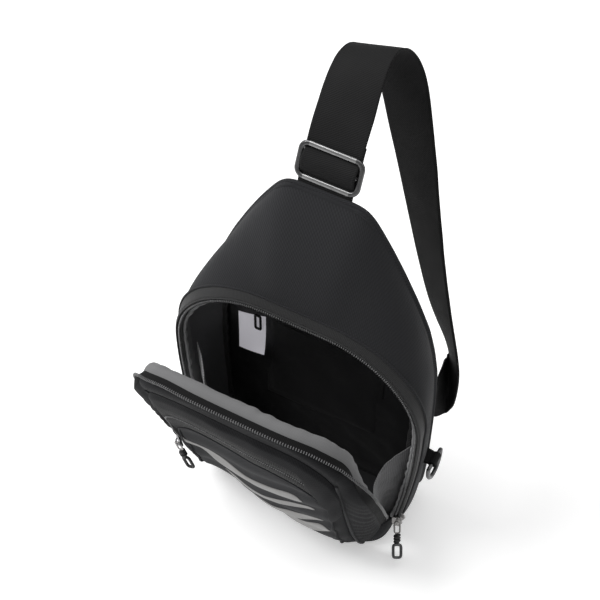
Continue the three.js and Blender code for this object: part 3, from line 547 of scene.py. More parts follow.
# the label cloth also emits a little light: painted light that brightens it in the bag's shaded inside
_label_glow_bsdf = LABEL.node_tree.nodes.get("Principled BSDF")
_label_glow_bsdf.inputs["Emission Color"].default_value = (0.9, 0.88, 0.95, 1); _label_glow_bsdf.inputs["Emission Strength"].default_value = 0.28
TEETH = plastic_mat("zip_teeth", (0.10, 0.10, 0.102), rough=0.26, spec=0.6)
RUBBER = plastic_mat("pull_rubber", (0.014, 0.014, 0.0145), rough=0.5, spec=0.45, bump=0.3, scale=1500)
GUN = metal_mat("gunmetal", (0.12, 0.12, 0.122), rough=0.34)
STEEL = metal_mat("bright_metal", (0.34, 0.33, 0.325), rough=0.3)
# lighter copy of the frame metal for its straight bars: painted highlight
BAR_PAINTED_HIGHLIGHT = metal_mat("bar_painted_highlight", (0.3, 0.3, 0.3), rough=0.38)

# ------------------------------------------------------------------ body: outer fabric
CENTRE = np.array([0, 20, 110.0])
def lin(a, b, n):
    return np.linspace(a, b, n)

def twist(P, amp=0.5, scale=30, seed=1, fade=None, direction=None):
    """Moves the points along their normals by noise."""
    Nn = grid_normals(P) if direction is None else np.broadcast_to(np.asarray(direction, float), P.shape)
    d = vnoise(P, scale, seed) * amp + vnoise(P, scale * 0.45, seed + 7) * amp * 0.4
    if fade is not None:
        d = d * fade
    return P + Nn * d[..., None]

def build_body():
    s = lin(0.004, 0.996, 260)[:, None]; v = lin(0.0, 0.985, 60)[None, :]
    S, Vv = np.broadcast_arrays(s, v)
    P = body_skin(S, Vv)
    fade = smoothstep(0, 0.10, Vv) * smoothstep(1, 0.88, Vv)
    P = twist(P, 0.55, 42, 3, fade)
    # long soft dents that run down the sides from the crown
    side = smoothstep(0.30, 0.22, np.minimum(S, 1 - S))
    Nn = grid_normals(P)
    if ((P - CENTRE) * Nn).sum(-1).mean() < 0:
        Nn = -Nn
    dent = vnoise(np.stack([P[..., 0] * 0.2, P[..., 1] * 1.2, P[..., 2] * 0.55], -1), 22, 11)
    P = P + Nn * (dent * 0.7 * side * fade)[..., None]
    o = shell("body_outer_fabric", P, 1.7, SHELL, "bag_body", inside=CENTRE)
    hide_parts("upper_front_panel", "right_gusset", "left_gusset")
    # bound edge along the back seam
    ss = lin(0.0, 1.0, 300)
    bp, bn = back.p(ss), back.n(ss)
    path = xyz(bp[:, 0] + bn[:, 0] * 0.2, BACK_Y + 4.6, bp[:, 1] + bn[:, 1] * 0.2)
    w = sweep("back_seam_piping", path, circle(1.55, 12), SHELL, "bag_body", up=(0, 1, 0))
build_body()

# ------------------------------------------------------------------ body: zip tape, teeth, facing and lining
def arch_band(o, s, prof):
    """A band along the arch: prof is a list of (outward, y) points across it."""
    p, n = o.p(s), o.n(s)
    out = []
    for r, y in prof:
        out.append(xyz(p[:, 0] + n[:, 0] * r, y if np.ndim(y) else np.full(len(s), y), p[:, 1] + n[:, 1] * r + HZ))
    return np.stack(out, 1)

def build_zip_body():
    s = lin(0, 1, 300)
    rows = [tape_edge(body_arch, s, f, 0.0) for f in lin(-0.9, 2.4, 5)]
    rows += [tape_edge(body_arch, s, 2.7, b) for b in lin(0.5, 7.2, 8)]
    P = np.stack(rows, 1)
    o = shell("body_zip_tape_cloth", P, 0.7, TAPE, "bag_body", inside=CENTRE, rim=0.3)
    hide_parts("body_zip_tape")
    # raised cord just outside the teeth
    p, n = body_arch.p(s), body_arch.n(s)
    path = xyz(p[:, 0] + n[:, 0] * 1.5, -0.45, p[:, 1] + n[:, 1] * 1.5 + HZ)
    w = sweep("body_zip_cord", path, circle(0.55, 8), TAPE, "bag_body", up=(0, 1, 0))
    path = xyz(p[:, 0] - n[:, 0] * 0.9, 0.0, p[:, 1] - n[:, 1] * 0.9 + HZ)
    Q, T, t = spaced(path, 1.62)
    nn = body_arch.n(t)
    U = xyz(nn[:, 0], 0.0, nn[:, 1])
    b = beads("body_zip_teeth_coil", Q, T, U, (1.2, 2.6, 2.4), TEETH, "bag_body", 6, 4, 0.7)
    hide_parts("body_zip_teeth")
    # seam where the outer fabric is sewn over the tape: a rolled fold
    s2 = lin(0.02, 0.98, 300)
    a = tape_edge(body_full, s2, 2.7, 6.9)
    nf = body_full.n(s2)
    roll = a + xyz(nf[:, 0] * 0.5, 0.35, nf[:, 1] * 0.5)
    r = sweep("body_zip_seam_roll", roll, circle(0.85, 10), SHELL, "bag_body", up=(0, 1, 0))
build_zip_body()

def half_width(z):
    z = np.asarray(z, float)
    pts = back.q[: len(back.q) // 2]
    return np.interp(z, pts[:, 1], pts[:, 0])

def build_lining():
    s = lin(0.0, 1.0, 220)
    p, n = body_arch.p(s), body_arch.n(s)
    # light facing just inside the teeth
    k = np.maximum(n[:, 1], 0)
    wav = 0.5 * np.sin(s * 190) + 0.7 * vnoise(np.stack([s * 560, s * 0, s * 0], -1), 9, 5)
    prof = [(-1.7, 0.4), (-1.6, 1.4), (-2.6, 5.0), (-3.4, 9.6), (-3.2, 14.0)]
    rows = []
    for i, (r, y) in enumerate(prof):
        rr = r - 0.10 * wav * i / 2 + (0.6 * k if i > 1 else 0)
        yy = y + 0.25 * wav * i / 3
        rows.append(xyz(p[:, 0] + n[:, 0] * rr, yy, p[:, 1] + n[:, 1] * rr + HZ))
    # crinkled edge of the facing, in the lighter copy of the grey lining: painted light
    Ls = s * body_arch.total
    crk = 0.5 * np.sin(Ls / 1.7) + 0.9 * vnoise(np.stack([Ls, Ls * 0, Ls * 0], -1), 6, 13)
    edge = xyz(p[:, 0] - n[:, 0] * (3.4 + 0.35 * crk), 3.4 + 0.4 * crk, p[:, 1] - n[:, 1] * (3.4 + 0.35 * crk) + HZ)
    e_ = sweep("body_facing_edge", edge, circle(1.35, 8)[None] * (1 + 0.22 * crk)[:, None, None], GREY_LINING_PAINTED_LIGHT, "bag_body", up=(0, 1, 0))
    o = shell("body_lining_facing", np.stack(rows, 1), 0.7, GREY, "bag_body", rim=0.3)
    # side walls from the facing to the back seam, in a much lighter copy of the dark lining: painted light
    s = lin(0.0, 1.0, 240)
    pa, na = body_full.p(s), body_full.n(s)
    pb, nb = back.p(s), back.n(s)
    A = xyz(pa[:, 0] - na[:, 0] * 2.2, 8.6, pa[:, 1] - na[:, 1] * 2.2 + HZ)
    ins = 9.6 + 5.0 * np.maximum(nb[:, 1], 0)
    B = xyz(pb[:, 0] - nb[:, 0] * ins, 34.8, pb[:, 1] - nb[:, 1] * ins)
    t = lin(0, 1, 26)[None, :, None]
    P = A[:, None] * (1 - t) + B[:, None] * t
    up = np.maximum(nb[:, 1], 0)[:, None]
    bulge = 4 * t[..., 0] * (1 - t[..., 0])
    P[..., 0] += nb[:, None, 0] * bulge * 1.6
    P[..., 2] -= up * bulge * 1.0
    P = twist(P, 1.0, 26, 21, smoothstep(0, 0.12, t[..., 0]) * smoothstep(1, 0.9, t[..., 0]) * np.ones_like(P[..., 0]))
    o = shell("side_wall_lining", P, 0.6, SIDE_LINING_PAINTED_LIGHT, "bag_body", rim=0.3, inside=CENTRE)
    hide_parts("right_side_lining", "left_side_lining")
    # bound seam in the back corner, crinkled
    s = lin(0.045, 0.955, 420)
    pb, nb = back.p(s), back.n(s)
    L = s * back.total
    cr = 0.55 * np.sin(L / 2.1) + 0.9 * vnoise(np.stack([L, L * 0, L * 0], -1), 7, 9)
    ib = 10.2 + 12 * np.maximum(nb[:, 1], 0) ** 2
    path = xyz(pb[:, 0] - nb[:, 0] * (ib + 0.2 * cr), 33.8 + 0.25 * cr, pb[:, 1] - nb[:, 1] * (ib + 0.2 * cr))
    base = rrect(4.6, 2.2, 1.0, 3)
    sec = base[None] * (1 + 0.10 * cr)[:, None, None]
    w = sweep("back_seam_binding", path, sec, BINDING, "bag_body", up=(0, 1, 0))
    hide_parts("right_seam_binding", "left_seam_binding")
    # back lining with soft folds
    z = lin(3.5, 272, 110); a = lin(-1, 1, 70)
    w = half_width(z) - 9.0
    X = a[None, :] * w[:, None]; Z = np.repeat(z[:, None], 70, 1)
    edge = smoothstep(1, 0.8, np.abs(a))[None, :] * smoothstep(0, 0.06, (z - 3.5) / 280)[:, None] * smoothstep(1, 0.9, (z - 3.5) / 280)[:, None]
    d = vnoise(np.stack([X * 0.5 + Z * 0.35, Z * 0.9 - X * 0.2, X * 0], -1), 24, 31) * 1.1 + vnoise(np.stack([X + Z * 0.5, Z - X * 0.3, X * 0], -1), 9, 32) * 0.35
    Y = 36.9 - 1.2 * edge + d * edge * 0.9
    o = shell("back_lining_cloth", xyz(X, Y, Z), 0.6, LINING, "bag_body", inside=(0, 60, 120), rim=0.3)
    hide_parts("back_lining")
build_lining()

def disc(name, rim_pts, z_of, t, mat, body, rings=14):
    """A flat slab with a rounded edge, filled from its outline (n x 2), with a height map z_of(x, y)."""
    R = np.asarray(rim_pts, float); n = len(R); c = R.mean(0)
    verts, faces, uv = [], [], []
    fr = list(lin(0.0, 1.0, rings))[1:]
    def layer(top):
        base = len(verts)
        verts.append([c[0], c[1], z_of(c[0], c[1]) - (0 if top else t)]); uv.append(c * 0.001)
        for f in fr:
            q = c + (R - c) * (f if f < 1 else 1)
            shrink = 0.35 * t if f == fr[-1] else 0
            for x, y in q:
                dd = math.hypot(x - c[0], y - c[1]); kx = 1 - shrink / max(dd, 1e-6)
                x2, y2 = c[0] + (x - c[0]) * kx, c[1] + (y - c[1]) * kx
                verts.append([x2, y2, z_of(x2, y2) - (0 if top else t)]); uv.append((x2 * 0.001, y2 * 0.001))
        for j in range(n):
            j2 = (j + 1) % n
            f = (base, base + 1 + j, base + 1 + j2)
            faces.append(f if top else f[::-1])
            for r in range(len(fr) - 1):
                a = base + 1 + r * n
                q = (a + j, a + n + j, a + n + j2, a + j2)
                faces.append(q if top else q[::-1])
        return base + 1 + (len(fr) - 1) * n
    a = layer(True); b = layer(False)
    m = len(verts)
    for x, y in R:
        verts.append([x, y, z_of(x, y) - t / 2]); uv.append((x * 0.001, y * 0.001))
    for j in range(n):
        j2 = (j + 1) % n
        faces.append((a + j, m + j, m + j2, a + j2)); faces.append((m + j, b + j, b + j2, m + j2))
    o = obj_from(name, verts, faces, mat, None, uv)
    import bmesh
    bm = bmesh.new(); bm.from_mesh(o.data); bmesh.ops.recalc_face_normals(bm, faces=bm.faces); bm.to_mesh(o.data); bm.free()
    if body:
        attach(o, body)
    return o

def smooth_loop(pts, n=150, k=4):
    p = np.array(pts, float); q = np.vstack([p, p[:1]]); d = np.r_[0, np.cumsum(np.hypot(*np.diff(q, axis=0).T))]
    t = lin(0, d[-1], n + 1)[:-1]; r = np.c_[np.interp(t, d, q[:, 0]), np.interp(t, d, q[:, 1])]
    w = np.exp(-0.5 * (np.arange(-k, k + 1) / (k / 2.2)) ** 2); w /= w.sum()
    return sum(np.roll(r, i, 0) * c for i, c in zip(range(-k, k + 1), w))
BOT = smooth_loop([[79, 26], [78, 33], [74, 38], [66, 40], [-66, 40], [-74, 38], [-78, 33], [-79, 26], [-79, 2], [-77.5, -1.5], [-74, -4.5],
    [-66, -8], [-50, -11.5], [-30, -17], [-12, -21.8], [0, -23.5], [30, -23.8], [50, -21.3], [66, -17.5], [74, -12.5], [77.8, -7.5], [79, -3]])
def build_bottom():
    o = disc("bottom_panel_cloth", BOT, lambda x, y: 2.6, 2.6, SHELL, "bag_body")
    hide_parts("bottom_panel")
    o = disc("bottom_lining", BOT * np.array([0.955, 0.93]) + np.array([0, 0.9]), lambda x, y: 3.5 + 0.25 * math.sin(x * 0.09 + y * 0.05), 0.6, LINING, "bag_body")
    # padded back
    z = lin(5.5, 289, 150); a = lin(-1, 1, 90)
    w = half_width(z) - 0.4
    X = a[None, :] * w[:, None]; Z = np.repeat(z[:, None], 90, 1)
    inner = smoothstep(1, 0.86, np.abs(a))[None, :] * smoothstep(0, 0.05, (z - 5.5) / 284)[:, None] * smoothstep(1, 0.95, (z - 5.5) / 284)[:, None]
    Y = 43.4 + 2.6 * inner + 0.35 * vnoise(np.stack([X, Z, X * 0], -1), 30, 41) * inner
    for zz in (95.0, 185.0):        # two sewn channels across the padding
        Y -= 1.5 * np.exp(-((Z - zz - 6 * (X / 80) ** 2) / 2.2) ** 2) * smoothstep(0.92, 0.85, np.abs(X) / np.maximum(w[:, None], 1))
    P = xyz(X, Y, Z)
    o = shell("back_panel_padded", P, 4.2, SHELL, "bag_body", inside=(0, 0, 130), rim=0.4)
    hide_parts("back_panel", "back_foam")
build_bottom()

# ------------------------------------------------------------------ flap surfaces, in flap coordinates
flap_arch = Outline(arch_points(FLAP_GAP), 2.0)
rim_line = Outline(arch_points(FLAP_GAP + 9.2), 2.0)
FN = np.array([[-4, 13.0], [0, 17.5], [6, 23], [16, 26], [30, 27.2], [50, 26.2], [75, 22.6], [100, 17.6], [125, 12], [150, 6.6], [170, 2.6], [186, 0]])
from_poly = None
def face_n(v):
    v = np.asarray(v, float)
    # smoothed lookup of the profile
    return sum(np.interp(v + d, FN[:, 0], FN[:, 1]) * w for d, w in ((-6, 0.1), (-3, 0.2), (0, 0.4), (3, 0.2), (6, 0.1)))
RIM_S = 0.34
SINK = np.array([[-72, 7], [-62, 10], [-50, 14], [-33, 13], [0, 6.5], [33, 4], [66, 0], [90, 0]], float)
def sink(u, v):
    k = sum(np.interp(u + d, SINK[:, 0], SINK[:, 1]) * w for d, w in ((-8, 0.15), (-4, 0.2), (0, 0.3), (4, 0.2), (8, 0.15)))
    return k * (0.5 + 0.5 * smoothstep(0, 30, v)) * smoothstep(172, 118, v)
def face_w(v):
    return 71 - 4.5 * (np.maximum(v - 60, 0) / 110) ** 2 - 5 * (np.maximum(14 - v, 0) / 14) ** 2
def face_uvn(a, b):
    """The flap's face: a across 0..1, b up 0..1, as flap coordinates."""
    a, b = np.broadcast_arrays(np.asarray(a, float), np.asarray(b, float))
    top = rim_line.p(RIM_S + (1 - 2 * RIM_S) * (1 - a))
    ut, vt = top[..., 0], top[..., 1]
    v = 2 + (vt - 2) * b
    w = face_w(v)
    bl = b ** 3
    uu = a * 2 - 1
    u = uu * w * (1 - bl) + ut * bl
    crown = 2.2 * (1 - uu * uu) * np.sin(math.pi * np.minimum(b * 1.05, 1))
    return np.stack([u, v, face_n(v) * (1 - 0.05 * uu * uu) + crown - sink(u, v)], -1)
def on_face(u, v):
    uu = u / face_w(v); b = v / 176
    return face_n(v) * (1 - 0.05 * uu * uu) + 2.2 * (1 - uu * uu) * np.sin(math.pi * np.minimum(b * 1.05, 1)) - sink(u, v)

def turned(s):
    """1 where the flap's edge is turned forward (along its top), 0 down its sides."""
    n = flap_arch.n(s)
    return smoothstep(0.12, 0.86, n[..., 1])
def teeth_uvn(s):
    p, n = flap_arch.p(s), flap_arch.n(s)
    ang = np.degrees(np.arcsin(np.clip(n[..., 1], 0, 1)))
    off = np.interp(ang, [0, 25, 45, 65, 80, 90], [2.0, -0.5, -3.0, -2.5, -1.0, -0.6]) * smoothstep(0, 60, p[..., 1])
    return np.stack([p[..., 0] - n[..., 0] * 0.95, p[..., 1] - n[..., 1] * 0.95, off], -1)
def edge_uvn(s, q):
    """The tape from the teeth (q=0) to the seam (q=1)."""
    s, q = np.broadcast_arrays(np.asarray(s, float), np.asarray(q, float))
    n = flap_arch.n(s)
    w = turned(s)
    phi = np.radians(74 - 150 * w)
    L = (6.6 - 2.6 * w) * q
    bow = 0.8 * np.sin(math.pi * q)
    d = L * np.cos(phi) + 0.0
    nn = L * np.sin(phi)
    d = d - bow * np.sin(phi) * 0.5
    nn = nn + bow * np.cos(phi) * 0.5 + 1.0 * w * (1 - q)
    t = teeth_uvn(s)
    return np.stack([t[..., 0] - n[..., 0] * d, t[..., 1] - n[..., 1] * d, t[..., 2] + nn], -1)
def Fa(P):
    u, v, n = P[..., 0], P[..., 1], P[..., 2]
    hi = smoothstep(58, 132, v)
    du = np.interp(u, [-96, -84, -70, -55, -30, -5], [-11, -12, -14, -11, -4, 0]) * hi
    dn = 5.0 * smoothstep(-62, -92, u) * smoothstep(60, 130, v)
    return F(u + du, v, n - dn)

def solidify(o, t, offset=-1, rim=True):
    m = o.modifiers.new("s", "SOLIDIFY"); m.thickness = t * 0.001; m.offset = offset; m.use_rim = rim; m.use_even_offset = False
    apply_mods(o)
def apply_mods(o):
    dg = bpy.context.evaluated_depsgraph_get()
    me = bpy.data.meshes.new_from_object(o.evaluated_get(dg), depsgraph=dg)
    o.modifiers.clear()
    old = o.data; o.data = me; me.name = o.name
    bpy.data.meshes.remove(old)
    o.data.polygons.foreach_set("use_smooth", np.ones(len(o.data.polygons), bool))

S0, S1 = 0.026, 0.974
def build_flap():
    NA, NB, NW = 96, 84, 14
    a = lin(0, 1, NA + 1); b = lin(0, 1, NB + 1)
    A, B = np.meshgrid(a, b, indexing="ij")
    Pf = face_uvn(A, B)
    # outer border of the face, from the lower right corner, over the top, to the lower left corner
    border = [(NA, j) for j in range(NB + 1)] + [(i, NB) for i in range(NA - 1, -1, -1)] + [(0, j) for j in range(NB - 1, -1, -1)]
    sb = np.array([RIM_S * j / NB for j in range(NB + 1)] + [RIM_S + (1 - 2 * RIM_S) * (1 - i / NA) for i in range(NA - 1, -1, -1)] + [1 - RIM_S * j / NB for j in range(NB - 1, -1, -1)])
    E = np.array([Pf[i, j] for i, j in border])
    ssub = S0 + (S1 - S0) * sb
    seam_ = edge_uvn(ssub, 1.0)
    w = turned(ssub)
    t = lin(0, 1, NW + 1)
    # control point of the wall between the face and the seam
    n2 = flap_arch.n(ssub)
    C = (E + seam_) / 2
    out = np.stack([n2[:, 0], n2[:, 1], np.zeros(len(n2))], -1)
    # sides: the gusset bows outwards; top: the cloth runs up the face's own line and rolls back under the tape
    side_c = C + out * 3.2 + np.array([0, 0, 1]) * 2.4
    top_c = E + (np.stack([n2[:, 0], n2[:, 1], np.zeros(len(n2))], -1)) * 8.6 + np.array([0, 0, 1]) * (-0.6)
    C = side_c * (1 - w[:, None]) + top_c * w[:, None]
    T = t[None, :, None]
    W = E[:, None] * (1 - T) ** 2 + C[:, None] * 2 * T * (1 - T) + seam_[:, None] * T ** 2
    # creases on the gussets: they fan from the face seam down towards the zip end
    height = W[..., 1]
    kk = (1 - w[:, None]) * smoothstep(0, 0.18, T[..., 0]) * smoothstep(1.0, 0.78, T[..., 0])
    low = smoothstep(178, 40, height) * smoothstep(-2, 14, height)
    sgn = np.sign(W[..., 0])
    ph = height / 11.5 + 0.9 * vnoise(np.stack([height, W[..., 2] * 2, sgn * 50], -1), 26, 51) + T[..., 0] * 1.5
    crease = np.abs(np.sin(ph * math.pi)) ** 0.7
    dep = (crease - 0.6) * 2.7 * kk * low * (0.6 + 0.4 * vnoise(W, 30, 55))
    Nw = grid_normals(W)
    if (Nw * out[:, None]).sum() < 0:
        Nw = -Nw
    W = W + Nw * dep[..., None]
    # gentle waves in the face band above the pocket
    wob = vnoise(np.stack([Pf[..., 0], Pf[..., 1], Pf[..., 0] * 0], -1), 34, 61) * 0.7
    fade = smoothstep(0, 0.08, A) * smoothstep(1, 0.92, A) * smoothstep(0, 0.06, B) * smoothstep(1, 0.9, B)
    Pf[..., 2] += wob * fade
    verts = [Fa(Pf).reshape(-1, 3)]
    uvs = [Pf[..., :2].reshape(-1, 2) * 0.001]
    faces, mi = [], []
    idx = np.arange((NA + 1) * (NB + 1)).reshape(NA + 1, NB + 1)
    for i in range(NA):
        for j in range(NB):
            faces.append((idx[i, j], idx[i + 1, j], idx[i + 1, j + 1], idx[i, j + 1])); mi.append(0)
    base = (NA + 1) * (NB + 1)
    m = len(border)
    Wf = Fa(W)
    verts.append(Wf[:, 1:].reshape(-1, 3))
    wuv = arc_uv(W)[:, 1:]
    uvs.append(wuv.reshape(-1, 2))
    def vid(k, q):
        return idx[border[k]] if q == 0 else base + k * NW + (q - 1)
    for k in range(m - 1):
        for q in range(NW):
            faces.append((vid(k, q), vid(k, q + 1), vid(k + 1, q + 1), vid(k + 1, q))); mi.append(0)
    # the flap's face and gussets take the darker copy of the shell fabric: painted shade
    o = obj_from("flap_outer_fabric", np.vstack(verts), [tuple(int(x) for x in f) for f in faces], FLAP_FABRIC_PAINTED_SHADE, None, np.vstack(uvs))
    import bmesh
    bm = bmesh.new(); bm.from_mesh(o.data); bmesh.ops.recalc_face_normals(bm, faces=bm.faces)
    # outside is towards -Y
    s_ = sum(f.normal.y * f.calc_area() for f in bm.faces)
    if s_ > 0:
        bmesh.ops.reverse_faces(bm, faces=bm.faces)
    bm.to_mesh(o.data); bm.free()
    solidify(o, 1.5, -1)
    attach(o, "flap")
    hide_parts("flap_front_panel", "flap_right_gusset", "flap_left_gusset")
    # seams between the face and each gusset: a narrow rolled line
    for side, rng in (("right", range(2, NB - 2)), ("left", range(NB + NA + 3, m - 2))):
        pts = np.array([E[k] for k in rng]); pts[:, 2] += 0.25
        pts[:, 0] += np.sign(pts[:, 0]) * 0.3
        r = sweep(f"flap_{side}_seam_roll", Fa(pts), circle(1.0, 8), SHELL, "flap", up=(0, -1, 0))
    # tape, in a darker copy of the zip tape cloth: painted shade
    s = S0 + (S1 - S0) * lin(0, 1, 300)
    q = lin(-0.06, 1.06, 12)
    P = edge_uvn(s[:, None], q[None, :])
    o = shell("flap_zip_tape_cloth", Fa(P), 0.7, FLAP_TAPE_PAINTED_SHADE, None, rim=0.3)
    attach(o, "flap"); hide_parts("flap_zip_tape")
    # teeth
    path = Fa(teeth_uvn(s) + np.stack([0 * s, 0 * s, 1.0 * turned(s)], -1))
    Q, T_, t_ = spaced(path, 1.8)
    st = S0 + (S1 - S0) * t_
    nn = flap_arch.n(st)
    U = F(nn[:, 0], nn[:, 1], 0 * st) - F(0 * st, 0 * st, 0 * st)
    bds = beads("flap_zip_teeth_coil", Q, T_, U, (0.95, 2.3, 2.3), TEETH, "flap", 6, 4, 0.7)
    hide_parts("flap_zip_teeth")
    # light facing behind the tape: over the crest and down inside
    n = flap_arch.n(s); w = turned(s)
    L = s * flap_arch.total
    cr = 0.3 * np.sin(L / 1.9 + 2 * vnoise(np.stack([L, L * 0 + 9, L * 0], -1), 14, 72)) + 1.5 * vnoise(np.stack([L, L * 0, L * 0], -1), 6, 71) + 1.2 * vnoise(np.stack([L, L * 0, L * 0], -1), 17, 73)
    seam1 = edge_uvn(s, 1.0)
    top = [(0.3, 0.3), (-0.5, -1.6), (-0.7, -3.8), (-0.2, -5.9), (1.4, -7.6), (4.4, -8.4), (9.5, -7.8)]
    sid = [(1.0, -0.6), (2.4, -3.2), (3.0, -6.0), (4.0, -8.4), (5.6, -10.2), (8.0, -10.8), (11.0, -9.5)]
    rows = []
    for i, ((dt, nt), (ds, ns)) in enumerate(zip(top, sid)):
        d = dt * w + ds * (1 - w); h = nt * w + ns * (1 - w)
        d = d + 0.16 * cr * (i / 3); h = h + 0.2 * cr * (i / 3)
        rows.append(np.stack([seam1[:, 0] - n[:, 0] * d, seam1[:, 1] - n[:, 1] * d, seam1[:, 2] + h], -1))
    K = np.stack(rows, 1)
    # finer across
    ti = lin(0, len(rows) - 1, 22); f = np.floor(ti).astype(int).clip(0, len(rows) - 2); fr = (ti - f)[None, :, None]
    K = K[:, f] * (1 - fr) + K[:, f + 1] * fr
    o = shell("flap_lining_facing_cloth", Fa(K), 0.7, GREY, None, rim=0.3)
    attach(o, "flap"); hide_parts("flap_lining_facing")
    # dark lining of the flap's inside
    A2, B2 = np.meshgrid(lin(0.03, 0.97, 60), lin(0.03, 0.97, 70), indexing="ij")
    Pl = face_uvn(A2, B2)
    Pl[..., 2] -= 3.0 + 2.6 * np.sin(math.pi * A2) * np.sin(math.pi * B2) + 0.8 * vnoise(Pl, 22, 81)
    Pl[..., 2] -= 9 * smoothstep(0.8, 1.0, B2)
    o = shell("flap_lining_cloth", Fa(Pl), 0.6, LINING, None, rim=0.3)
    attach(o, "flap"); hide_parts("flap_lining")
build_flap()

# ------------------------------------------------------------------ front pocket
PV0 = 12.0
def round_top(u, w, vt, r):
    """Height of a rounded-top outline at u."""
    x = np.maximum(np.abs(u) - (w - r), 0)
    return vt - r + np.sqrt(np.maximum(r * r - x * x, 0))
def pocket_u(w, vt, r, n=260, v0=PV0):
    """The inverted-U outline from the lower left to the lower right, as (u, v)."""
    pts = [(-w, v) for v in lin(v0, vt - r, 60)]
    pts += [(-w + r - r * math.cos(a), vt - r + r * math.sin(a)) for a in lin(0, math.pi / 2, 24)[1:]]
    pts += [(u, vt) for u in lin(-w + r, w - r, 60)[1:]]
    pts += [(w - r + r * math.sin(a), vt - r + r * math.cos(a)) for a in lin(0, math.pi / 2, 24)[1:]]
    pts += [(w, v) for v in lin(vt - r, v0, 60)[1:]]
    p = np.array(pts); d = np.r_[0, np.cumsum(np.hypot(*np.diff(p, axis=0).T))]
    t = lin(0, d[-1], n)
    return np.c_[np.interp(t, d, p[:, 0]), np.interp(t, d, p[:, 1])]
PKW, PKT, PKR = 60.5, 128.0, 26.0        # front panel
PBW, PBT, PBR = 68.5, 165.0, 36.0        # where the pocket meets the flap
STR_V = [111, 87, 63, 39]
def drop(u, v):
    """The top of the pocket's front dips towards the left."""
    return v - 17 * smoothstep(24, -45, u) * smoothstep(50, 125, v)
def ridge(u, v):
    """Soft ridges that run across the pocket under the stripes."""
    c = v - 0.5 * u
    return 0.9 * np.cos((c - 87) / 23 * TAU)
def pocket_lift(u, v):
    e = np.clip(1 - (np.abs(u) / (PKW + 1.5)) ** 6, 0, 1)
    low = smoothstep(PV0 - 2, PV0 + 20, v)
    return 1.0 + (6.6 + ridge(u, v) * smoothstep(PV0, 30, v) * smoothstep(126, 116, v)) * low * (0.72 + 0.28 * e)
def pocket_n(u, v):
    return on_face(u, v) + pocket_lift(u, v)

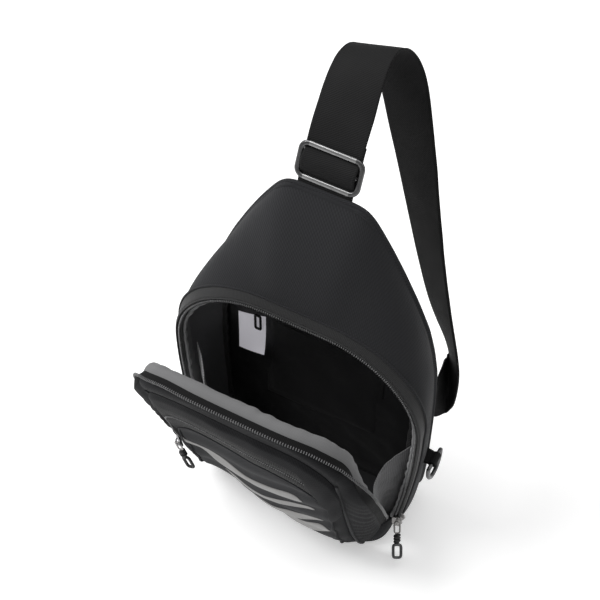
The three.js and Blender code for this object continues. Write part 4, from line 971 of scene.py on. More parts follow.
def build_pocket():
    NA, NB = 90, 84
    a = lin(-1, 1, NA + 1)[:, None]; b = lin(0, 1, NB + 1)[None, :]
    v_side = PV0 + (PKT - PKR - PV0) * b
    u = a * PKW * (1 - 0.06 * (1 - b) ** 3)
    vt = round_top(a * PKW, PKW, PKT, PKR)
    v = PV0 + (vt - PV0) * b
    U, V_ = np.broadcast_arrays(u, v)
    V_ = drop(U, V_)
    n = pocket_n(U, V_)
    edge = smoothstep(1.0, 0.93, np.abs(a) * np.ones_like(b)) * smoothstep(1, 0.95, b * np.ones_like(a))
    n = n - (1 - edge) * 0.7
    n = n + 0.45 * vnoise(np.stack([U, V_, U * 0], -1), 26, 91) * edge
    P = np.stack([U, V_, n], -1)
    o = shell("pocket_front_panel", Fa(P), 1.4, SHELL, None, inside=Fa(np.array([0, 80, -60.0])), rim=0.5)
    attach(o, "flap"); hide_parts("front_pocket")
    # side and top wall, from the flap up to the front panel
    In = pocket_u(PKW, PKT, PKR); In[:, 1] = drop(In[:, 0], In[:, 1]); Out = pocket_u(PBW, PBT, PBR)
    m = len(In)
    q = lin(0, 1, m)
    nin = pocket_n(In[:, 0], In[:, 1]) - 0.9
    nout = on_face(np.clip(Out[:, 0], -face_w(Out[:, 1]) + 1, face_w(Out[:, 1]) - 1), Out[:, 1]) + 0.4
    A = np.c_[In, nin]; B = np.c_[Out, nout]
    T = lin(0, 1, 49)[None, :, None]
    C = (A + B) / 2 + np.c_[(Out - In) * 0.18, np.full(m, 2.2)]
    W = B[:, None] * (1 - T) ** 2 + C[:, None] * 2 * T * (1 - T) + A[:, None] * T ** 2
    # the hood: the upper part of the wall stands proud of the zip, and covers it down the right side
    Wn = grid_normals(W)
    if (Wn[..., 2]).sum() < 0:
        Wn = -Wn
    flat_W = W
    tt = lin(0, 16, 49)[None, :]; qc = q[:, None]
    t_end = 7.0 + 8.4 * smoothstep(0.60, 0.66, qc)
    act = smoothstep(0.20, 0.235, qc) * smoothstep(0.785, 0.772, qc)
    W = W + Wn * (1.7 * smoothstep(t_end + 0.35, t_end - 0.35, tt) * smoothstep(0, 2.5, tt) * act * (1 + 0.35 * vnoise(W, 16, 97)))[..., None]
    # the pocket wall takes the darker copy of the shell fabric: painted shade
    o = shell("pocket_wall", Fa(W), 1.0, FLAP_FABRIC_PAINTED_SHADE, None, inside=Fa(np.array([0, 80, -60.0])), rim=0.5)
    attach(o, "flap"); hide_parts("pocket_top_band")
    # ribbed zip in the wall: two tape halves that meet on the coil
    lo_q, hi_q = 0.184, 0.665
    sel = (q >= lo_q) & (q <= hi_q)
    Wl = flat_W + Wn * 0.45
    dens = lin(0, 16, 17)
    def row(tv):
        tv = tv * 3; i = int(min(math.floor(tv), 47)); f = tv - i
        return Wl[:, i] * (1 - f) + Wl[:, i + 1] * f
    halves = {"upper": (6.6, 10.9), "lower": (11.8, 15.9)}
    for nm, (t0, t1) in halves.items():
        Z = np.stack([row(t) for t in lin(t0, t1, 8)], 1)[sel]
        Zn = grid_normals(Z)
        if Zn[..., 2].sum() < 0:
            Zn = -Zn
        bulge = np.sin(lin(0, math.pi, 8))[None, :, None]
        Z = Z + Zn * bulge * 0.45
        z = shell(f"pocket_zip_tape_{nm}", Fa(Z), 0.7, RIBTAPE, None, rim=0.3, inside=Fa(np.array([0, 80, -60.0])))
        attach(z, "flap")
    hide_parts("pocket_zip_tape")
    mid = row(11.35)[sel]
    path = Fa(mid)
    Q, T_, t_ = spaced(path, 1.62)
    cen = Fa(np.array([0, 80, -60.0]))
    Un = Fa(np.array([[0, 80, 1.0]]))[0] - Fa(np.array([[0, 80, 0.0]]))[0]
    bds = beads("pocket_zip_coil_teeth", Q, T_, np.tile(Un, (len(Q), 1)), (1.1, 1.9, 1.2), TEETH, "flap", 6, 4, 0.8)
    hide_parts("pocket_zip_coil")
    # piping round the front panel's edge
    pip = In.copy(); npip = pocket_n(pip[:, 0], pip[:, 1]) - 0.35
    r = sweep("pocket_front_piping", Fa(np.c_[pip, npip]), circle(0.9, 10), SHELL, "flap", up=(0, -1, 0))
    # stripes: long swooshes that sweep up to a blunt tip at the right
    edges = [([(-69, 87), (-55, 84.5), (-38, 81), (-10, 86.5), (16, 99.5), (30, 108), (38, 110.5), (42, 108)],
              [(-69, 82), (-58, 75), (-38, 70), (-18, 71), (0, 77), (22, 91), (34, 99), (41, 104.5)]),
             ([(-34, 57), (-15, 60), (5, 69), (27, 86), (40, 95), (47, 99.5), (49.5, 98.5)],
              [(-34, 52), (-16, 54), (3, 62), (25, 79.5), (38, 89.5), (46, 95.5), (49.5, 97)]),
             ([(-15, 41), (10, 50), (32, 67), (46, 81.5), (52, 85), (54.5, 83)],
              [(-15, 35), (9, 42), (30, 56), (44, 71.5), (51, 79), (54.3, 81)]),
             ([(2, 31), (24, 45), (42, 65), (51, 73), (56, 72), (58, 66)],
              [(2, 22), (24, 28), (40, 40), (49, 50), (55, 58), (57.5, 63)])]
    def fine(pts):
        p = np.array(pts, float); d = np.r_[0, np.cumsum(np.hypot(*np.diff(p, axis=0).T))]
        t = lin(0, d[-1], 120); r = np.c_[np.interp(t, d, p[:, 0]), np.interp(t, d, p[:, 1])]
        w = np.exp(-0.5 * (np.arange(-9, 10) / 4.0) ** 2); w /= w.sum()
        e = np.vstack([2 * r[0] - r[1:10][::-1], r, 2 * r[-1] - r[-10:-1][::-1]])
        return np.stack([np.convolve(e[:, c], w, "valid") for c in range(2)], -1)
    for i, (eu, el) in enumerate(edges):
        a_, b_ = fine(eu), fine(el)
        end = np.sqrt(np.clip(1 - (lin(0, 1, 120) - 0.94).clip(0) ** 2 / 0.06 ** 2, 0, 1)) * smoothstep(-0.01, 0.25, lin(0, 1, 120)) ** 0.5
        bb = lin(0, 1, 9)[None, :, None]
        c_ = (a_ + b_) / 2; h_ = (a_ - b_) / 2 * end[:, None]
        G = (c_ - h_)[:, None] * (1 - bb) + (c_ + h_)[:, None] * bb
        U, Vv = np.clip(G[..., 0], -PKW + 1.2, PKW - 1.2), G[..., 1]
        P = np.stack([U, Vv, pocket_n(U, Vv) + 0.35 + 0.45 * vnoise(np.stack([U, Vv, U * 0], -1), 26, 91)], -1)
        st = shell(f"stripe_{i + 1}", Fa(P), 0.3, STRIPE, None, rim=0.2, inside=Fa(np.array([0, 80, -60.0])))
        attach(st, "flap"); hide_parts(f"reflective_stripe_{i + 1}")
build_pocket()

# ------------------------------------------------------------------ fold of cloth between the body and the flap
def build_fold():
    n = 200
    # lower edge on the bottom panel, upper edge on the flap's foot, both from the right end round the front to the left
    def path(pts, r=6):
        p = np.array(pts, float); d = np.r_[0, np.cumsum(np.linalg.norm(np.diff(p, axis=0), axis=1))]
        t = lin(0, d[-1], n)
        q = np.stack([np.interp(t, d, p[:, c]) for c in range(3)], -1)
        k = np.exp(-0.5 * (np.arange(-12, 13) / 4.0) ** 2); k /= k.sum()
        e = np.vstack([2 * q[0] - q[1:13][::-1], q, 2 * q[-1] - q[-13:-1][::-1]])
        return np.stack([np.convolve(e[:, c], k, "valid") for c in range(3)], -1)
    lo = path([[78.5, 8, 2.4], [78.6, -3, 2.2], [74, -12, 2.0], [66, -16.8, 1.8], [50, -20.6, 1.8], [30, -23, 1.8], [0, -22.8, 1.8], [-30, -16.4, 1.8], [-50, -10.9, 1.8], [-66, -7.4, 2.0], [-74, -3.8, 2.0], [-78.5, 2.5, 2.2], [-78.5, 9, 2.4]])
    foot = face_uvn(lin(1, 0, 41), 0.0); foot[:, 2] += 0.6
    ft = Fa(foot)
    right = [[81.0, 5.5, 17.0], [79.5, 0.0, 18.6], [76.5, -6.5, 18.0], [71.5, -12.5, 14.8]]
    left = [[-x, y, z] for x, y, z in right[::-1]]
    hi = path(right + [list(p) for p in ft] + left)
    T = lin(0, 1, 18)[None, :, None]
    mid = (lo + hi) / 2
    outd = mid - np.array([0, 15, 8.0]); outd[:, 2] = 0
    outd /= np.linalg.norm(outd, axis=1, keepdims=True)
    C = mid + outd * 2.6 + np.array([0, 0, 0.2])
    P = lo[:, None] * (1 - T) ** 2 + C[:, None] * 2 * T * (1 - T) + hi[:, None] * T ** 2
    w = vnoise(np.stack([P[..., 0], P[..., 1], P[..., 2] * 0.5], -1), 13, 101)
    P = P + outd[:, None] * (w * 0.9 * np.sin(math.pi * T[..., 0]))[..., None]
    o = shell("front_fold_fabric", P, 1.3, SHELL, None, inside=(0, 15, 8), rim=0.4)
    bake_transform(o)
    # light grey lining folds inside both ends of the zip, the left one in a lighter copy than the right: painted light
    # and shade between the two ends
    for sx, nm in ((1, "right"), (-1, "left")):
        s = lin(0, 1, 46)[:, None]; t = lin(0, 1, 30)[None, :]
        # from the body's side wall (t=0) to the flap's inside edge (t=1); s runs up
        zb = 12 + (66 if sx > 0 else 104) * s
        if sx > 0:
            zb = 12 + 94 * s
        bx = sx * (half_width(zb) - 4.5 + 4 * smoothstep(0, 1, s)); by = 11.5 + 0 * s
        vf = 6 + (78 if sx > 0 else 58) * s
        fx = sx * (78.5 + 3 * s); 
        Pf_ = F(fx, vf, 1.0 + 0 * s)
        Pb_ = xyz(bx, by, zb)
        P = Pb_ * (1 - t[..., None]) + Pf_ * t[..., None]
        sag = np.sin(math.pi * t) * (5 + (6 if sx > 0 else 10) * s)
        P[..., 0] -= sx * sag * 0.9
        P[..., 2] -= sag * 0.45
        P = twist(P, 1.6, 12, 111 + sx, np.sin(math.pi * t) * np.ones_like(s))
        # left end in the lighter copy, right end in the darker one: painted light and shade
        o = shell(f"{nm}_zip_end_lining", P, 0.7, GREY_LINING_PAINTED_LIGHT if nm == "left" else FOLDC, None, rim=0.3)
        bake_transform(o)
build_fold()

# ------------------------------------------------------------------ strap
STRAP_L = [[-21.0, 43.2, 281.0], [-21.0, 44.6, 287.0], [-21.0, 45.9, 292.1], [-21.0, 48.8, 298.4], [-21.0, 53.7, 308.7], [-21.0, 58.5, 319.1], [-21.1, 64.3, 328.4], [-21.8, 72.6, 335.6], [-22.5, 81.0, 342.6], [-23.2, 90.6, 347.8], [-23.5, 101.1, 350.5], [-22.6, 111.5, 349.2], [-20.0, 119.9, 343.1], [-16.1, 124.9, 334.0], [-11.8, 126.7, 323.7], [-7.4, 126.2, 313.1], [-3.1, 124.2, 302.6], [1.2, 121.6, 292.2], [5.6, 118.8, 282.0], [10.2, 116.0, 271.8], [14.7, 113.2, 261.7], [19.2, 110.3, 251.6], [23.7, 107.3, 241.5], [28.2, 104.3, 231.5], [32.6, 101.4, 221.5], [37.0, 98.5, 211.5], [41.4, 95.8, 201.5], [45.8, 93.2, 191.5], [50.1, 90.9, 181.5], [54.6, 88.9, 171.5], [59.2, 87.5, 161.6], [64.0, 86.8, 151.8], [68.9, 86.5, 142.0], [73.2, 86.1, 132.3], [76.3, 85.5, 123.5], [78.1, 82.7, 122.4], [83.1, 68.1, 133.0], [85.9, 53.0, 136.6], [88.0, 45.3, 137.4]]
STRAP_R = [[17.0, 43.2, 281.0], [17.0, 44.6, 287.0], [17.0, 45.9, 292.1], [17.0, 48.8, 298.4], [17.0, 53.7, 308.7], [17.0, 58.5, 319.1], [16.9, 65.0, 328.9], [16.1, 73.9, 337.8], [15.2, 81.6, 346.8], [14.2, 90.2, 354.5], [13.3, 100.0, 359.8], [13.6, 110.0, 360.6], [15.7, 118.2, 356.0], [19.2, 123.2, 347.8], [23.3, 124.5, 338.1], [27.4, 123.1, 328.0], [31.3, 120.0, 318.0], [35.2, 116.0, 308.1], [39.2, 111.7, 298.3], [43.1, 107.3, 288.6], [47.1, 102.9, 278.8], [50.9, 98.4, 268.9], [54.7, 93.9, 259.0], [58.4, 89.5, 249.0], [62.2, 85.2, 239.0], [65.9, 81.0, 228.8], [69.8, 77.2, 218.6], [73.7, 73.5, 208.2], [77.6, 70.2, 197.7], [81.4, 67.0, 187.0], [85.3, 64.1, 176.2], [89.1, 61.6, 165.2], [92.7, 59.3, 153.9], [95.5, 57.0, 142.2], [96.8, 54.2, 129.5], [96.9, 50.6, 114.6], [93.3, 51.4, 100.5], [89.8, 47.0, 99.2], [87.6, 45.3, 99.4]]
def catmull(pts, n):
    """Centripetal curve through the points, sampled at n even parameters."""
    p = np.array(pts, float)
    p = np.vstack([2 * p[0] - p[1], p, 2 * p[-1] - p[-2]])
    m = len(p) - 3
    out = []
    for x in np.linspace(0, m, n):
        i = min(int(x), m - 1); f = x - i
        p0, p1, p2, p3 = p[i:i + 4]
        t0 = 0; t1 = t0 + max(np.linalg.norm(p1 - p0), 1e-4) ** 0.5; t2 = t1 + max(np.linalg.norm(p2 - p1), 1e-4) ** 0.5; t3 = t2 + max(np.linalg.norm(p3 - p2), 1e-4) ** 0.5
        t = t1 + f * (t2 - t1)
        a1 = (t1 - t) / (t1 - t0) * p0 + (t - t0) / (t1 - t0) * p1
        a2 = (t2 - t) / (t2 - t1) * p1 + (t - t1) / (t2 - t1) * p2
        a3 = (t3 - t) / (t3 - t2) * p2 + (t - t2) / (t3 - t2) * p3
        b1 = (t2 - t) / (t2 - t0) * a1 + (t - t0) / (t2 - t0) * a2
        b2 = (t3 - t) / (t3 - t1) * a2 + (t - t1) / (t3 - t1) * a3
        out.append((t2 - t) / (t2 - t1) * b1 + (t - t1) / (t2 - t1) * b2)
    return np.array(out)

def band_along(q0, q1, lo, trim, n, nw):
    """Grid of points along the strap between shares q0 and q1, `lo` mm out of its middle plane."""
    Lc, Rc = catmull(STRAP_L, 721), catmull(STRAP_R, 721)
    x = lin(q0, q1, n) * 720
    at = lambda C: np.stack([np.interp(x, np.arange(721), C[:, c]) for c in range(3)], -1)
    l, r = at(Lc), at(Rc)
    w = r - l; w /= np.linalg.norm(w, axis=1, keepdims=True)
    t = np.gradient(l + r, axis=0)
    m = np.cross(t, w); m /= np.linalg.norm(m, axis=1, keepdims=True)
    l = l + w * trim; r = r - w * trim
    a = lin(0, 1, nw)[None, :, None]
    return (l[:, None] * (1 - a) + r[:, None] * a) + m[:, None] * lo, m

def build_strap():
    P, m = band_along(0, 1, -0.75, 0.0, 520, 25)
    a = np.abs(lin(-1, 1, 25))[None, :]
    # a rolled selvage, and a slight cross bow
    prof = -0.18 * np.exp(-((a - 0.9) / 0.035) ** 2) + 0.12 * smoothstep(0.93, 1, a)
    P = P + m[:, None] * (prof * -1)[..., None]
    P = P + m[:, None] * (0.22 * vnoise(P, 26, 121))[..., None]
    o = shell("strap_webbing_cloth", P, 1.5, WEB, None, rim=0.45, inside=None, flip=False)
    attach(o, "bag_body"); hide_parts("strap_webbing")
    # folded and sewn end behind the front run
    P, m = band_along(0.082, 0.140, 1.4, 0.5, 60, 17)
    o = shell("strap_end_cloth", P, 1.3, WEB, None, rim=0.45, flip=True)
    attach(o, "bag_body"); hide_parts("strap_sewn_end")
build_strap()

RUN = np.array([-2.0, 44.0, 288.0]); RL = math.radians(25)
def R3(x, out, up):
    """Point beside the strap's straight run: across, out of its front face, up along it."""
    x, out, up = np.broadcast_arrays(x, out, up)
    # rotation.x = -25 deg: local y -> (0, cos, -sin), local z -> (0, sin, cos); out is -local y
    y = -out * math.cos(RL) + up * math.sin(RL)
    z = out * math.sin(RL) + up * math.cos(RL)
    return np.stack([RUN[0] + x, RUN[1] + y, RUN[2] + z], -1)
TG = 18.8
def build_adjuster():
    k = rrect(46.5 - 3.6, 26.5 - 3.6, 5.2, 12)
    d = np.r_[0, np.cumsum(np.hypot(*np.diff(np.vstack([k, k[:1]]), axis=0).T))]
    t = lin(0, d[-1], 181)[:-1]
    kk = np.vstack([k, k[:1]])
    pts = np.c_[np.interp(t, d, kk[:, 0]), np.interp(t, d, kk[:, 1])]
    path = R3(pts[:, 0], 2.8, TG + pts[:, 1])
    up = (R3(0.0, 1.0, 0.0) - R3(0.0, 0.0, 0.0))
    # the frame's two long straight bars take the lighter metal: painted highlight
    on_bar_highlight = (np.abs(pts[:, 1]) > (26.5 - 3.6) / 2 - 0.6) & (np.abs(pts[:, 0]) < (46.5 - 3.6) / 2 - 5.0)
    o = sweep("adjuster_frame_wire", path, rrect(3.5, 2.7, 1.15, 4), GUN, "adjuster", closed=True, up=up, mats=[GUN, BAR_PAINTED_HIGHLIGHT], mat_of=lambda f, j: int(on_bar_highlight[int(f * len(pts)) % len(pts)]))
    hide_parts("adjuster_frame")
    n = 24
    path = R3(lin(-19.3, 19.3, n), 2.9, TG)
    o = sweep("adjuster_bar", path, circle(1.15, 12), GUN, "adjuster", up=up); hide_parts("adjuster_middle_bar")
    # turn of webbing over the middle bar
    a = lin(-1, 1, 60); x = lin(-18.8, 18.8, 33)
    c = np.cos(a * math.pi / 2) ** 0.75
    prof = np.c_[a * 9.2, 1.7 + 4.7 * c]
    X = np.repeat(x[None, :], 60, 0)
    sel = -0.16 * np.exp(-((np.abs(x) / 18.8 - 0.9) / 0.04) ** 2)
    P = R3(X, prof[:, 1][:, None] + sel[None] + 0.18 * vnoise(np.stack([X, a[:, None] * 20 + 0 * X, X * 0], -1), 8, 131), TG + prof[:, 0][:, None] + 0 * X)
    o = shell("adjuster_webbing_turn_cloth", P, 1.3, WEB, None, rim=0.4, inside=R3(0.0, -12.0, TG))
    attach(o, "adjuster"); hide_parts("adjuster_webbing_turn")
build_adjuster()

# ------------------------------------------------------------------ ring and its tab
DRX, DRY, DRZ = 100.2, 22.0, 86.0
def build_ring():
    n = 34; half = 10.0
    pts = [(0, -half + 2 * half * i / 10, 0) for i in range(10)]
    pts += [(0, half * math.cos(math.pi * i / n), -19 * math.sin(math.pi * i / n) ** 0.8) for i in range(n)]
    p = np.array(pts, float)
    # round the two corners
    e = np.vstack([p[-6:], p, p[:6]])
    d = np.r_[0, np.cumsum(np.linalg.norm(np.diff(np.vstack([p, p[:1]]), axis=0), axis=1))]
    t = lin(0, d[-1], 129)[:-1]; pp = np.vstack([p, p[:1]])
    q = np.stack([np.interp(t, d, pp[:, c]) for c in range(3)], -1)
    kk = np.exp(-0.5 * (np.arange(-6, 7) / 1.8) ** 2); kk /= kk.sum()
    q = sum(np.roll(q, i, 0) * w for i, w in zip(range(-6, 7), kk))
    q = q + np.array([DRX, DRY, DRZ])
    o = sweep("d_ring_wire", q, circle(1.5, 16), GUN, "d_ring", closed=True, up=(1, 0, 0))
    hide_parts("d_ring")
    # webbing tab folded round the ring's bar, its two layers meeting at the side seam
    yy = lin(-1, 1, 15)
    ang = np.radians(lin(-150, 150, 40))
    rows = []
    for r_, off in ((2.9, 0),):
        arc = np.c_[2.75 * np.cos(ang), 2.75 * np.sin(ang)]
    tail0 = np.c_[lin(-15, -2.6, 10), lin(-1.0, -1.35, 10)]
    tail1 = tail0[::-1] * np.array([1, -1])
    prof = np.vstack([tail0, arc, tail1])
    wid = 5.0 + 1.5 * smoothstep(0, -14, prof[:, 0])       # the tab widens into the seam
    P = np.stack([np.repeat((DRX + prof[:, 0])[:, None], 15, 1), DRY + wid[:, None] * yy[None], np.repeat((DRZ + prof[:, 1])[:, None], 15, 1)], -1)
    o = shell("ring_tab_webbing", P, 0.9, WEB, None, rim=0.4, inside=(DRX, DRY, DRZ))
    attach(o, "bag_body"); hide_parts("ring_tab")
build_ring()

# ------------------------------------------------------------------ sliders and pulls
def join(name, objs, body=None):
    for o in objs:
        o.select_set(False)
    bpy.ops.object.select_all(action="DESELECT")
    for o in objs:
        o.select_set(True)
    bpy.context.view_layer.objects.active = objs[0]
    bpy.ops.object.join()
    o = bpy.context.view_layer.objects.active
    o.name = name; o.data.name = name
    if body:
        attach(o, body)
    return o

def rod(name, pts, r, mat, k=12, closed=False, up=(0.3, 0.2, 1), flat=1.0, n=None, rounded=2.0):
    p = np.array(pts, float)
    if closed:
        p = np.vstack([p, p[:1]])
    d = np.r_[0, np.cumsum(np.linalg.norm(np.diff(p, axis=0), axis=1))]
    m = n or max(int(d[-1] / 0.6), 12)
    t = lin(0, d[-1], m + 1) if not closed else lin(0, d[-1], m + 1)[:-1]
    q = np.stack([np.interp(t, d, p[:, c]) for c in range(3)], -1)
    s = max(rounded / (d[-1] / m), 0.01); h = int(3 * s) + 1
    g = np.exp(-0.5 * (np.arange(-h, h + 1) / s) ** 2); g /= g.sum()
    if closed:
        q = sum(np.roll(q, i, 0) * w for i, w in zip(range(-h, h + 1), g))
    else:
        h = min(h, len(q) - 1); g = np.exp(-0.5 * (np.arange(-h, h + 1) / s) ** 2); g /= g.sum()
        e = np.vstack([2 * q[0] - q[1:h + 1][::-1], q, 2 * q[-1] - q[-h - 1:-1][::-1]])
        q = np.stack([np.convolve(e[:, c], g, "valid") for c in range(3)], -1)
    return sweep(name, q, circle(r, k, r * flat), mat, None, closed=closed, up=up)

def frame_pts(o, ex, ey, ez, pts):
    pts = np.asarray(pts, float)
    return np.asarray(o, float) + pts[:, 0:1] * np.asarray(ex) + pts[:, 1:2] * np.asarray(ey) + pts[:, 2:3] * np.asarray(ez)

def plate(name, outline2d, t, o, ex, ey, ez, mat, bevel=0.35):
    """A bevelled plate: outline in (ex, ez), thickness t along ey, centred."""
    R = np.asarray(outline2d, float); n = len(R); c = R.mean(0)
    d = R - c; l = np.linalg.norm(d, axis=1, keepdims=True)
    inner = c + d * (1 - bevel / np.maximum(l, 1e-6))
    layers = [(inner, -t / 2), (R, -t / 2 + bevel), (R, t / 2 - bevel), (inner, t / 2)]
    V = []
    for q, y in layers:
        V.append(frame_pts(o, ex, ey, ez, np.c_[q[:, 0], np.full(n, y), q[:, 1]]))
    faces = []
    for k in range(3):
        for j in range(n):
            j2 = (j + 1) % n
            faces.append((k * n + j, k * n + j2, (k + 1) * n + j2, (k + 1) * n + j))
    faces.append(tuple(range(n))[::-1]); faces.append(tuple(3 * n + j for j in range(n)))
    ob = obj_from(name, np.vstack(V), faces, mat, None, None, smooth=False)
    import bmesh
    bm = bmesh.new(); bm.from_mesh(ob.data); bmesh.ops.recalc_face_normals(bm, faces=bm.faces); bm.to_mesh(ob.data); bm.free()
    return ob

def slider_plan(w, h, nose=0.55, k=8):
    """Tear-shaped slider outline in (across, along)."""
    pts = []
    for i in range(k + 1):
        a = math.pi * i / k
        pts.append((w / 2 * math.cos(a), h * 0.18 + h * 0.32 * math.sin(a)))
    pts += [(-w / 2 * nose * 1.2, -h * 0.42), (-w / 2 * nose * 0.7, -h / 2), (w / 2 * nose * 0.7, -h / 2), (w / 2 * nose * 1.2, -h * 0.42)]
    return np.array(pts)

def pull_set(prefix, o, ex, ey, ez, mats, body, length):
    """Link, knot and loop hanging along -ez from o; ey is out of their flat face."""
    def at(p):
        return frame_pts(o, ex, ey, ez, p)
    link = rod(f"{prefix}_link_wire", at([[-2.0, 0, 0.4], [2.0, 0, 0.4], [2.0, 0, -7.6], [-2.0, 0, -7.6]]), 0.62, mats[0], 10, True, up=ey, rounded=0.9)
    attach(link, body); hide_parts(f"{prefix}_link")
    # knot: a cord wrapped twice round the link
    th = lin(0, TAU * 2.6, 90)
    kn = np.c_[1.75 * np.cos(th), 1.75 * np.sin(th), -8.9 - 5.2 * (th / th[-1])]
    k1 = rod("k1", at(kn), 1.0, mats[1], 10, False, up=ez, rounded=0.3)
    k2 = rod("k2", at([[0, 0, -8.4], [0.2, 0.2, -11.5], [0, 0, -14.8]]), 1.7, mats[1], 12, False, up=ey, rounded=0.4)
    kn = join(f"{prefix}_knot_cord", [k1, k2], body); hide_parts(f"{prefix}_knot")
    z1 = -15.0; z0 = z1 - length + 0.2
    loop = rod(f"{prefix}_loop_tab", at([[-2.85, 0, z1 - 1.1], [2.85, 0, z1 - 1.1], [2.85, 0, z0 + 1.1], [-2.85, 0, z0 + 1.1]]), 1.12, mats[2], 12, True, up=ey, rounded=1.3)
    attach(loop, body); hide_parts(f"{prefix}_loop")

X3, Y3, Z3 = np.eye(3)
def build_main_slider():
    SX, SZ = 82.8, 22.6
    o = np.array([SX + 3.0, 0.0, SZ + 2.4])
    ex, ez = np.array([0.989, 0, -0.15]), np.array([0.15, 0, 0.989])
    parts = []
    for sgn in (-1, 1):
        parts.append(plate("p", slider_plan(8.6, 11.0), 1.25, o + Y3 * sgn * 2.35, ex, Y3, ez, STEEL))
    parts.append(plate("p", rrect(1.5, 5.0, 0.5, 3) + np.array([-0.8, 1.5]), 4.0, o, ex, Y3, ez, STEEL, 0.2))
    # crown loop that holds the pull
    c = o - Y3 * 3.1
    parts.append(rod("p", frame_pts(c, ex, -Y3, ez, [[0, -0.2, 4.2], [0, 2.2, 3.2], [0, 2.6, 0], [0, 2.2, -3.2], [0, -0.2, -4.2]]), 0.7, STEEL, 10, False, up=ex, rounded=0.9))
    m = join("main_slider_body", parts, "main_slider")
    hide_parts("main_slider")
    head = math.atan2(-0.874, 0.486) + math.pi / 2
    R1 = np.array([[math.cos(head), -math.sin(head), 0], [math.sin(head), math.cos(head), 0], [0, 0, 1]])
    ta = -math.radians(46)
    R2 = np.array([[1, 0, 0], [0, math.cos(ta), -math.sin(ta)], [0, math.sin(ta), math.cos(ta)]])
    R = R1 @ R2
    pull_set("main_pull", np.array([SX + 4.6, -5.0, SZ + 5.4]), R[:, 0], R[:, 1], R[:, 2], (STEEL, RUBBER, GUN), "main_pull", 12)
build_main_slider()

def build_pocket_slider():
    lo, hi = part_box("pocket_slider")
    lo, hi = np.array(lo) * 1000, np.array(hi) * 1000
    cad_c = (lo + hi) / 2
    fv = np.array([0, -SL, CL]); n0 = np.array([0, -CL, -SL])
    fn = X3 * -0.62 + n0 * 0.785; fu = X3 * 0.785 + n0 * 0.62
    c = Fa(np.array([-66.6, 73.0, float(on_face(-65.0, 73.0)) + 5.6]))
    parts = [plate("p", slider_plan(6.6, 9.2)[:, ::-1], 1.5, c, fu, fn, fv, GUN)]
    parts.append(rod("p", frame_pts(c + fn * 0.7, fu, fn, fv, [[3.0, 0, 0], [2.2, 1.7, 0], [0, 2.1, 0], [-2.2, 1.7, 0], [-3.0, 0, 0]]), 0.6, GUN, 10, False, up=fv, rounded=0.8))
    m = join("pocket_slider_body", parts, "pocket_slider"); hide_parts("pocket_slider")
    j = [x for x in frame["joints"] if x["name"] == "pocket_pull_swing"][0]
    p = c + fn * 2.4
    cc_, ss_ = math.cos(math.radians(23)), math.sin(math.radians(23))
    pull_set("pocket_pull", p, np.array([cc_, 0, ss_]), Y3, np.array([-ss_, 0, cc_]), (STEEL, RUBBER, RUBBER), "pocket_pull", 13)
build_pocket_slider()

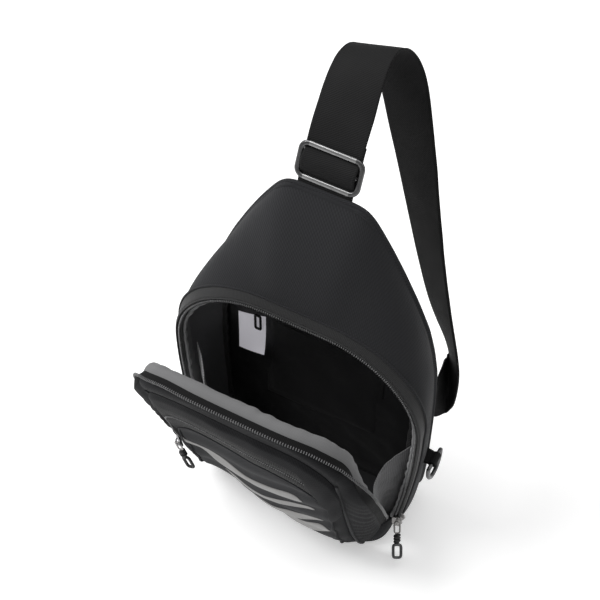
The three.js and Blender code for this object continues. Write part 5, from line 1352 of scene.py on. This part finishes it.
def build_inner_pocket():
    IPZ = 153.0
    # pocket bag behind the lining shows as a soft panel; the opening is a narrow zip
    x = lin(-43, 51, 60)[:, None]; z = lin(IPZ - 98, IPZ - 7, 60)[None, :]
    X, Z = np.broadcast_arrays(x, z)
    e = smoothstep(-43, -36, X) * smoothstep(51, 44, X) * smoothstep(IPZ - 98, IPZ - 88, Z)
    Y = 36.0 - 1.3 * e - 0.7 * e * vnoise(np.stack([X, Z, X * 0], -1), 20, 141)
    o = shell("inner_pocket_cloth", xyz(X, Y, Z), 0.5, LINING, None, rim=0.3, inside=(0, 60, 120))
    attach(o, "bag_body"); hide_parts("inner_pocket_panel")
    for k, (za, zb) in enumerate(((IPZ - 6, IPZ - 1.0), (IPZ + 1.0, IPZ + 6))):
        x = lin(-42, 50, 70)[:, None]; z = lin(za, zb, 8)[None, :]
        X, Z = np.broadcast_arrays(x, z)
        o = shell(f"inner_zip_tape_{k + 1}", xyz(X, 35.7 + 0 * X, Z), 0.5, TAPE, None, rim=0.3, inside=(0, 60, 120))
        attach(o, "bag_body")
        if k == 0:
            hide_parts("inner_pocket_tape")
    Q, T, t = spaced(xyz(lin(-38, 46, 40), 35.5, IPZ), 1.62)
    b = beads("inner_zip_coil", Q, T, np.tile(-Y3, (len(Q), 1)), (1.1, 2.0, 1.5), TEETH, "bag_body", 6, 4, 0.8)
    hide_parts("inner_pocket_teeth")
    c = np.array([-47.0, 33.7, IPZ])
    parts = [plate("p", slider_plan(5.6, 8.4)[:, ::-1], 1.4, c, X3, -Y3, Z3, GUN)]
    parts.append(rod("p", frame_pts(c, X3, -Y3, Z3, [[0, 0.4, -2.6], [0, 1.7, -1.6], [0, 1.9, 0.2], [0, 0.4, 2.2]]), 0.55, GUN, 10, False, up=X3, rounded=0.6))
    m = join("inner_slider_body", parts, "inner_pocket_slider"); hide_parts("inner_pocket_slider")
    lo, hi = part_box("inner_pocket_pull"); lo, hi = np.array(lo) * 1000, np.array(hi) * 1000
    cc = (lo + hi) / 2
    h = hi[2] - lo[2]; w = hi[0] - lo[0]
    r = rod("inner_pull_tab", [[cc[0] - w / 2 + 1.1, cc[1], lo[2] + 1.1], [cc[0] + w / 2 - 1.1, cc[1], lo[2] + 1.1], [cc[0] + w / 2 - 1.1, cc[1], hi[2] - 1.1], [cc[0] - w / 2 + 1.1, cc[1], hi[2] - 1.1]], 0.95, RUBBER, 10, True, up=(0, 1, 0), rounded=0.8)
    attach(r, "inner_pocket_pull"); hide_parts("inner_pocket_pull")
    # blank care label, curling at its free end
    u = lin(0, 1, 24)[:, None]; v = lin(0, 1, 40)[None, :]
    X = -64 + 22 * u + 1.0 * v + 0 * v; Z = 141 - 38 * v + 6.0 * u
    Y = 33.6 - 2.0 * v - 2.6 * v ** 3 * (0.3 + u) - 0.5 * np.sin(u * 3 + 0.5)
    o = shell("care_label_cloth", xyz(X, Y, Z), 0.35, LABEL, None, rim=0.3, inside=(0, 60, 200))
    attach(o, "bag_body"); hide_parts("care_label")
build_inner_pocket()

# ------------------------------------------------------------------ floor, light and background
def build_stage():
    me = bpy.data.meshes.new("floor")
    n = 40; r = 6.0
    vs = [(0, 0, -0.0004)] + [(r * math.cos(TAU * i / n), r * math.sin(TAU * i / n), -0.0004) for i in range(n)]
    me.from_pydata(vs, [], [(0, 1 + i, 1 + (i + 1) % n) for i in range(n)]); me.update()
    o = bpy.data.objects.new("floor", me); COL.objects.link(o)
    m, nt, b = new_mat("floor")
    tc = nt.nodes.new("ShaderNodeTexCoord")
    nz = N(nt, "ShaderNodeTexNoise"); nz.inputs["Scale"].default_value = 3.0
    nt.links.new(tc.outputs["Object"], nz.inputs["Vector"])
    nt.links.new(ramp(nt, nz.outputs["Fac"], [(0.3, (0.93, 0.93, 0.93)), (0.7, (0.95, 0.95, 0.95))]), b.inputs["Base Color"])
    b.inputs["Roughness"].default_value = 0.9
    b.inputs["Emission Color"].default_value = (1, 1, 1, 1); b.inputs["Emission Strength"].default_value = 0.35
    me.materials.append(m)
    o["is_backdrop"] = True
    w = bpy.data.worlds.new("studio"); bpy.context.scene.world = w
    w.use_nodes = True
    bg = w.node_tree.nodes["Background"]
    bg.inputs["Color"].default_value = (1, 1, 1, 1); bg.inputs["Strength"].default_value = 0.31
    def area(name, loc, target, size, power, size_y=None):
        l = bpy.data.lights.new(name, "AREA"); l.energy = power; l.size = size
        if size_y:
            l.shape = "RECTANGLE"; l.size_y = size_y
        a = bpy.data.objects.new(name, l); COL.objects.link(a)
        a.location = loc
        d = Vector(target) - Vector(loc)
        a.rotation_euler = d.to_track_quat("-Z", "Y").to_euler()
    area("key", (-1.0, -0.35, 1.45), (0, 0, 0.12), 0.9, 25)
    area("top", (0.1, 0.3, 1.6), (0, 0.02, 0.15), 1.1, 7)
    area("rim", (0.9, 0.6, 0.9), (0, 0.05, 0.15), 0.6, 1.5)
build_stage()
try:
    bpy.context.scene.view_settings.view_transform = "Standard"
except Exception:
    pass

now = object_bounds()
{"cad": [list(map(float, c)) for c in CAD_BOX], "visual": [list(map(float, c)) for c in now]}
